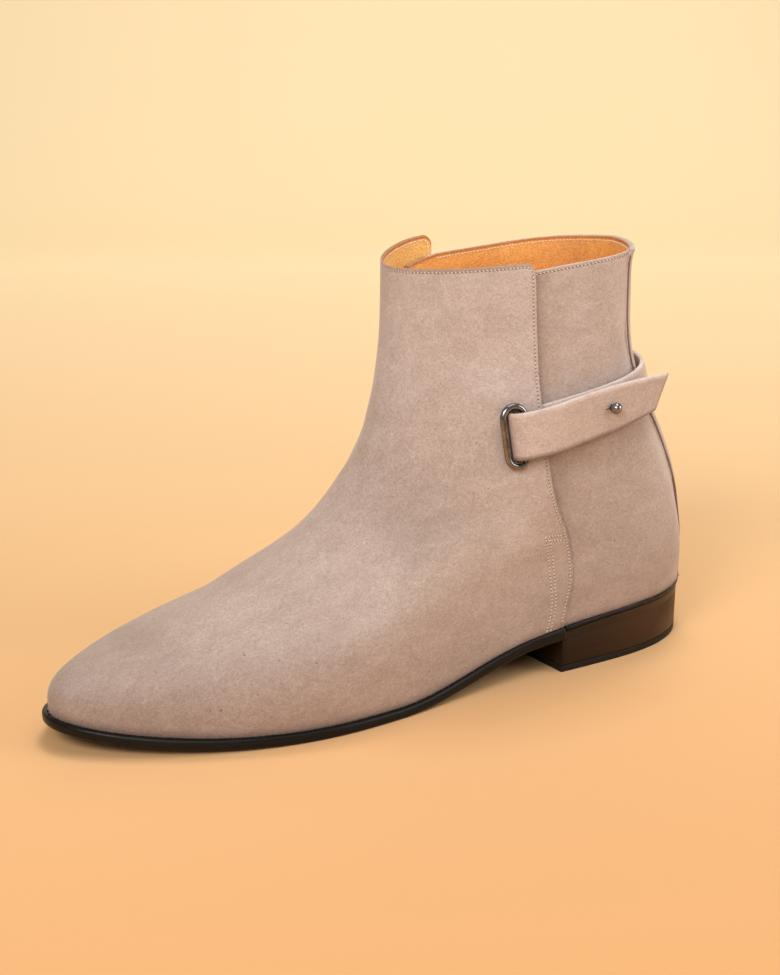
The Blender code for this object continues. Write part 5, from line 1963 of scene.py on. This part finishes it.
def make_stage():
    """Pale floor that sweeps up into a backdrop behind the boot, seen from the camera."""
    material, tree, shader = new_material("pale_floor", {"Roughness": 0.75, "Specular IOR Level": 0.2})
    back = Vector((-CAMERA_PLACE[0], -CAMERA_PLACE[1], 0.0)).normalized()
    where = add_node(tree, "ShaderNodeTexCoord").outputs["Object"]
    behind = add_node(tree, "ShaderNodeVectorMath", {0: where, 1: back}, operation="DOT_PRODUCT")
    cloud = noise_value(tree, where, 1.5, 2.0, 0.5)
    far = sum_values(tree, behind.outputs["Value"], 1.0, cloud, 0.2)
    color = color_between(tree, far, -0.3, 1.3, (0.62, 0.295, 0.103, 1.0), (0.92, 0.745, 0.465, 1.0))
    finish_surface(tree, shader, color)
    side = Vector((-back.y, back.x, 0.0))
    profile = [(FLOOR_FRONT, 0.0), (SWEEP_START, 0.0)]
    for angle in np.linspace(SWEEP_FIRST_ANGLE, math.pi / 2, SWEEP_STEPS):
        height = SWEEP_RADIUS - SWEEP_RADIUS * math.cos(angle)
        profile.append((SWEEP_START + SWEEP_RADIUS * math.sin(angle), height))
    profile.append((SWEEP_START + SWEEP_RADIUS, BACKDROP_TOP))
    points = []
    for away, height in profile:
        for reach in (-FLOOR_HALF, FLOOR_HALF):
            points.append(back * away + side * reach + Vector((0.0, 0.0, height)))
    faces = [(2 * k, 2 * k + 1, 2 * k + 3, 2 * k + 2) for k in range(len(profile) - 1)]
    mesh = bpy.data.meshes.new("floor")
    mesh.from_pydata(points, [], faces)
    mesh.shade_smooth()
    mesh.materials.append(material)
    floor = bpy.data.objects.new("floor", mesh)
    bpy.context.scene.collection.objects.link(floor)


def make_light():
    world = bpy.data.worlds.new("studio")
    world.use_nodes = True
    background = world.node_tree.nodes["Background"]
    background.inputs["Color"].default_value = (1.0, 0.97, 0.93, 1.0)
    background.inputs["Strength"].default_value = 0.22
    bpy.context.scene.world = world
    for light in LIGHTS:
        add_light(*light)


def make_camera():
    data = bpy.data.cameras.new("camera")
    data.lens = CAMERA_LENS
    data.sensor_width = 36.0
    camera = bpy.data.objects.new("camera", data)
    place = Vector(CAMERA_PLACE) * MM
    camera.location = place
    camera.rotation_euler = (Vector(CAMERA_AIM) * MM - place).to_track_quat("-Z", "Y").to_euler()
    bpy.context.scene.collection.objects.link(camera)
    bpy.context.scene.camera = camera


def main():
    suede = suede_material("suede", (0.35, 0.266, 0.220, 1.0), (0.44, 0.339, 0.286, 1.0),
                           (0.50, 0.390, 0.333, 1.0), 0.4)
    strap_suede = suede_material("strap_suede", (0.43, 0.328, 0.270, 1.0), (0.53, 0.407, 0.342, 1.0),
                                 (0.59, 0.458, 0.389, 1.0), 0.35)
    lining = lining_material()
    sole_edge = edge_material("sole_edge", (0.004, 0.0033, 0.003, 1.0), (0.010, 0.0075, 0.006, 1.0),
                              (0.042, 0.0175, 0.006, 1.0), 0.36, 0.06)
    heel_stack = edge_material("heel_stack", (0.010, 0.0048, 0.0025, 1.0), (0.022, 0.0095, 0.004, 1.0),
                               (0.048, 0.020, 0.0066, 1.0), 0.42, 0.0)
    metal = metal_material()
    thread = thread_material("thread", (0.50, 0.395, 0.31, 1.0), (0.70, 0.575, 0.47, 1.0))
    pale_thread = thread_material("lining_thread", (0.74, 0.55, 0.34, 1.0), (0.95, 0.82, 0.62, 1.0))
    # Painted shade in the needle holes
    hole_shade = thread_material("needle_hole_shade", (0.12, 0.080, 0.060, 1.0), (0.20, 0.138, 0.108, 1.0))
    slit_shade = thread_material("slit_shadow", (0.05, 0.032, 0.024, 1.0), (0.10, 0.065, 0.05, 1.0))
    vamp = make_vamp(suede)
    vamp_lining = make_vamp_lining(lining)
    cut_slot(vamp, vamp_lining)
    make_quarter(suede)
    make_quarter_lining(lining)
    make_back_strip(suede)
    make_back_piping(strap_suede)
    make_strap(strap_suede)
    make_slot_ring(metal)
    make_stud(metal)
    make_slit(slit_shade)
    make_outsole(sole_edge)
    make_sock(lining)
    make_heel(heel_stack, rubber_material())
    make_rand(sole_edge)
    make_stitching(thread, pale_thread, hole_shade)
    make_fuzz(suede)
    make_stage()
    make_light()
    make_camera()
    bpy.context.scene.view_settings.view_transform = "Standard"


main()
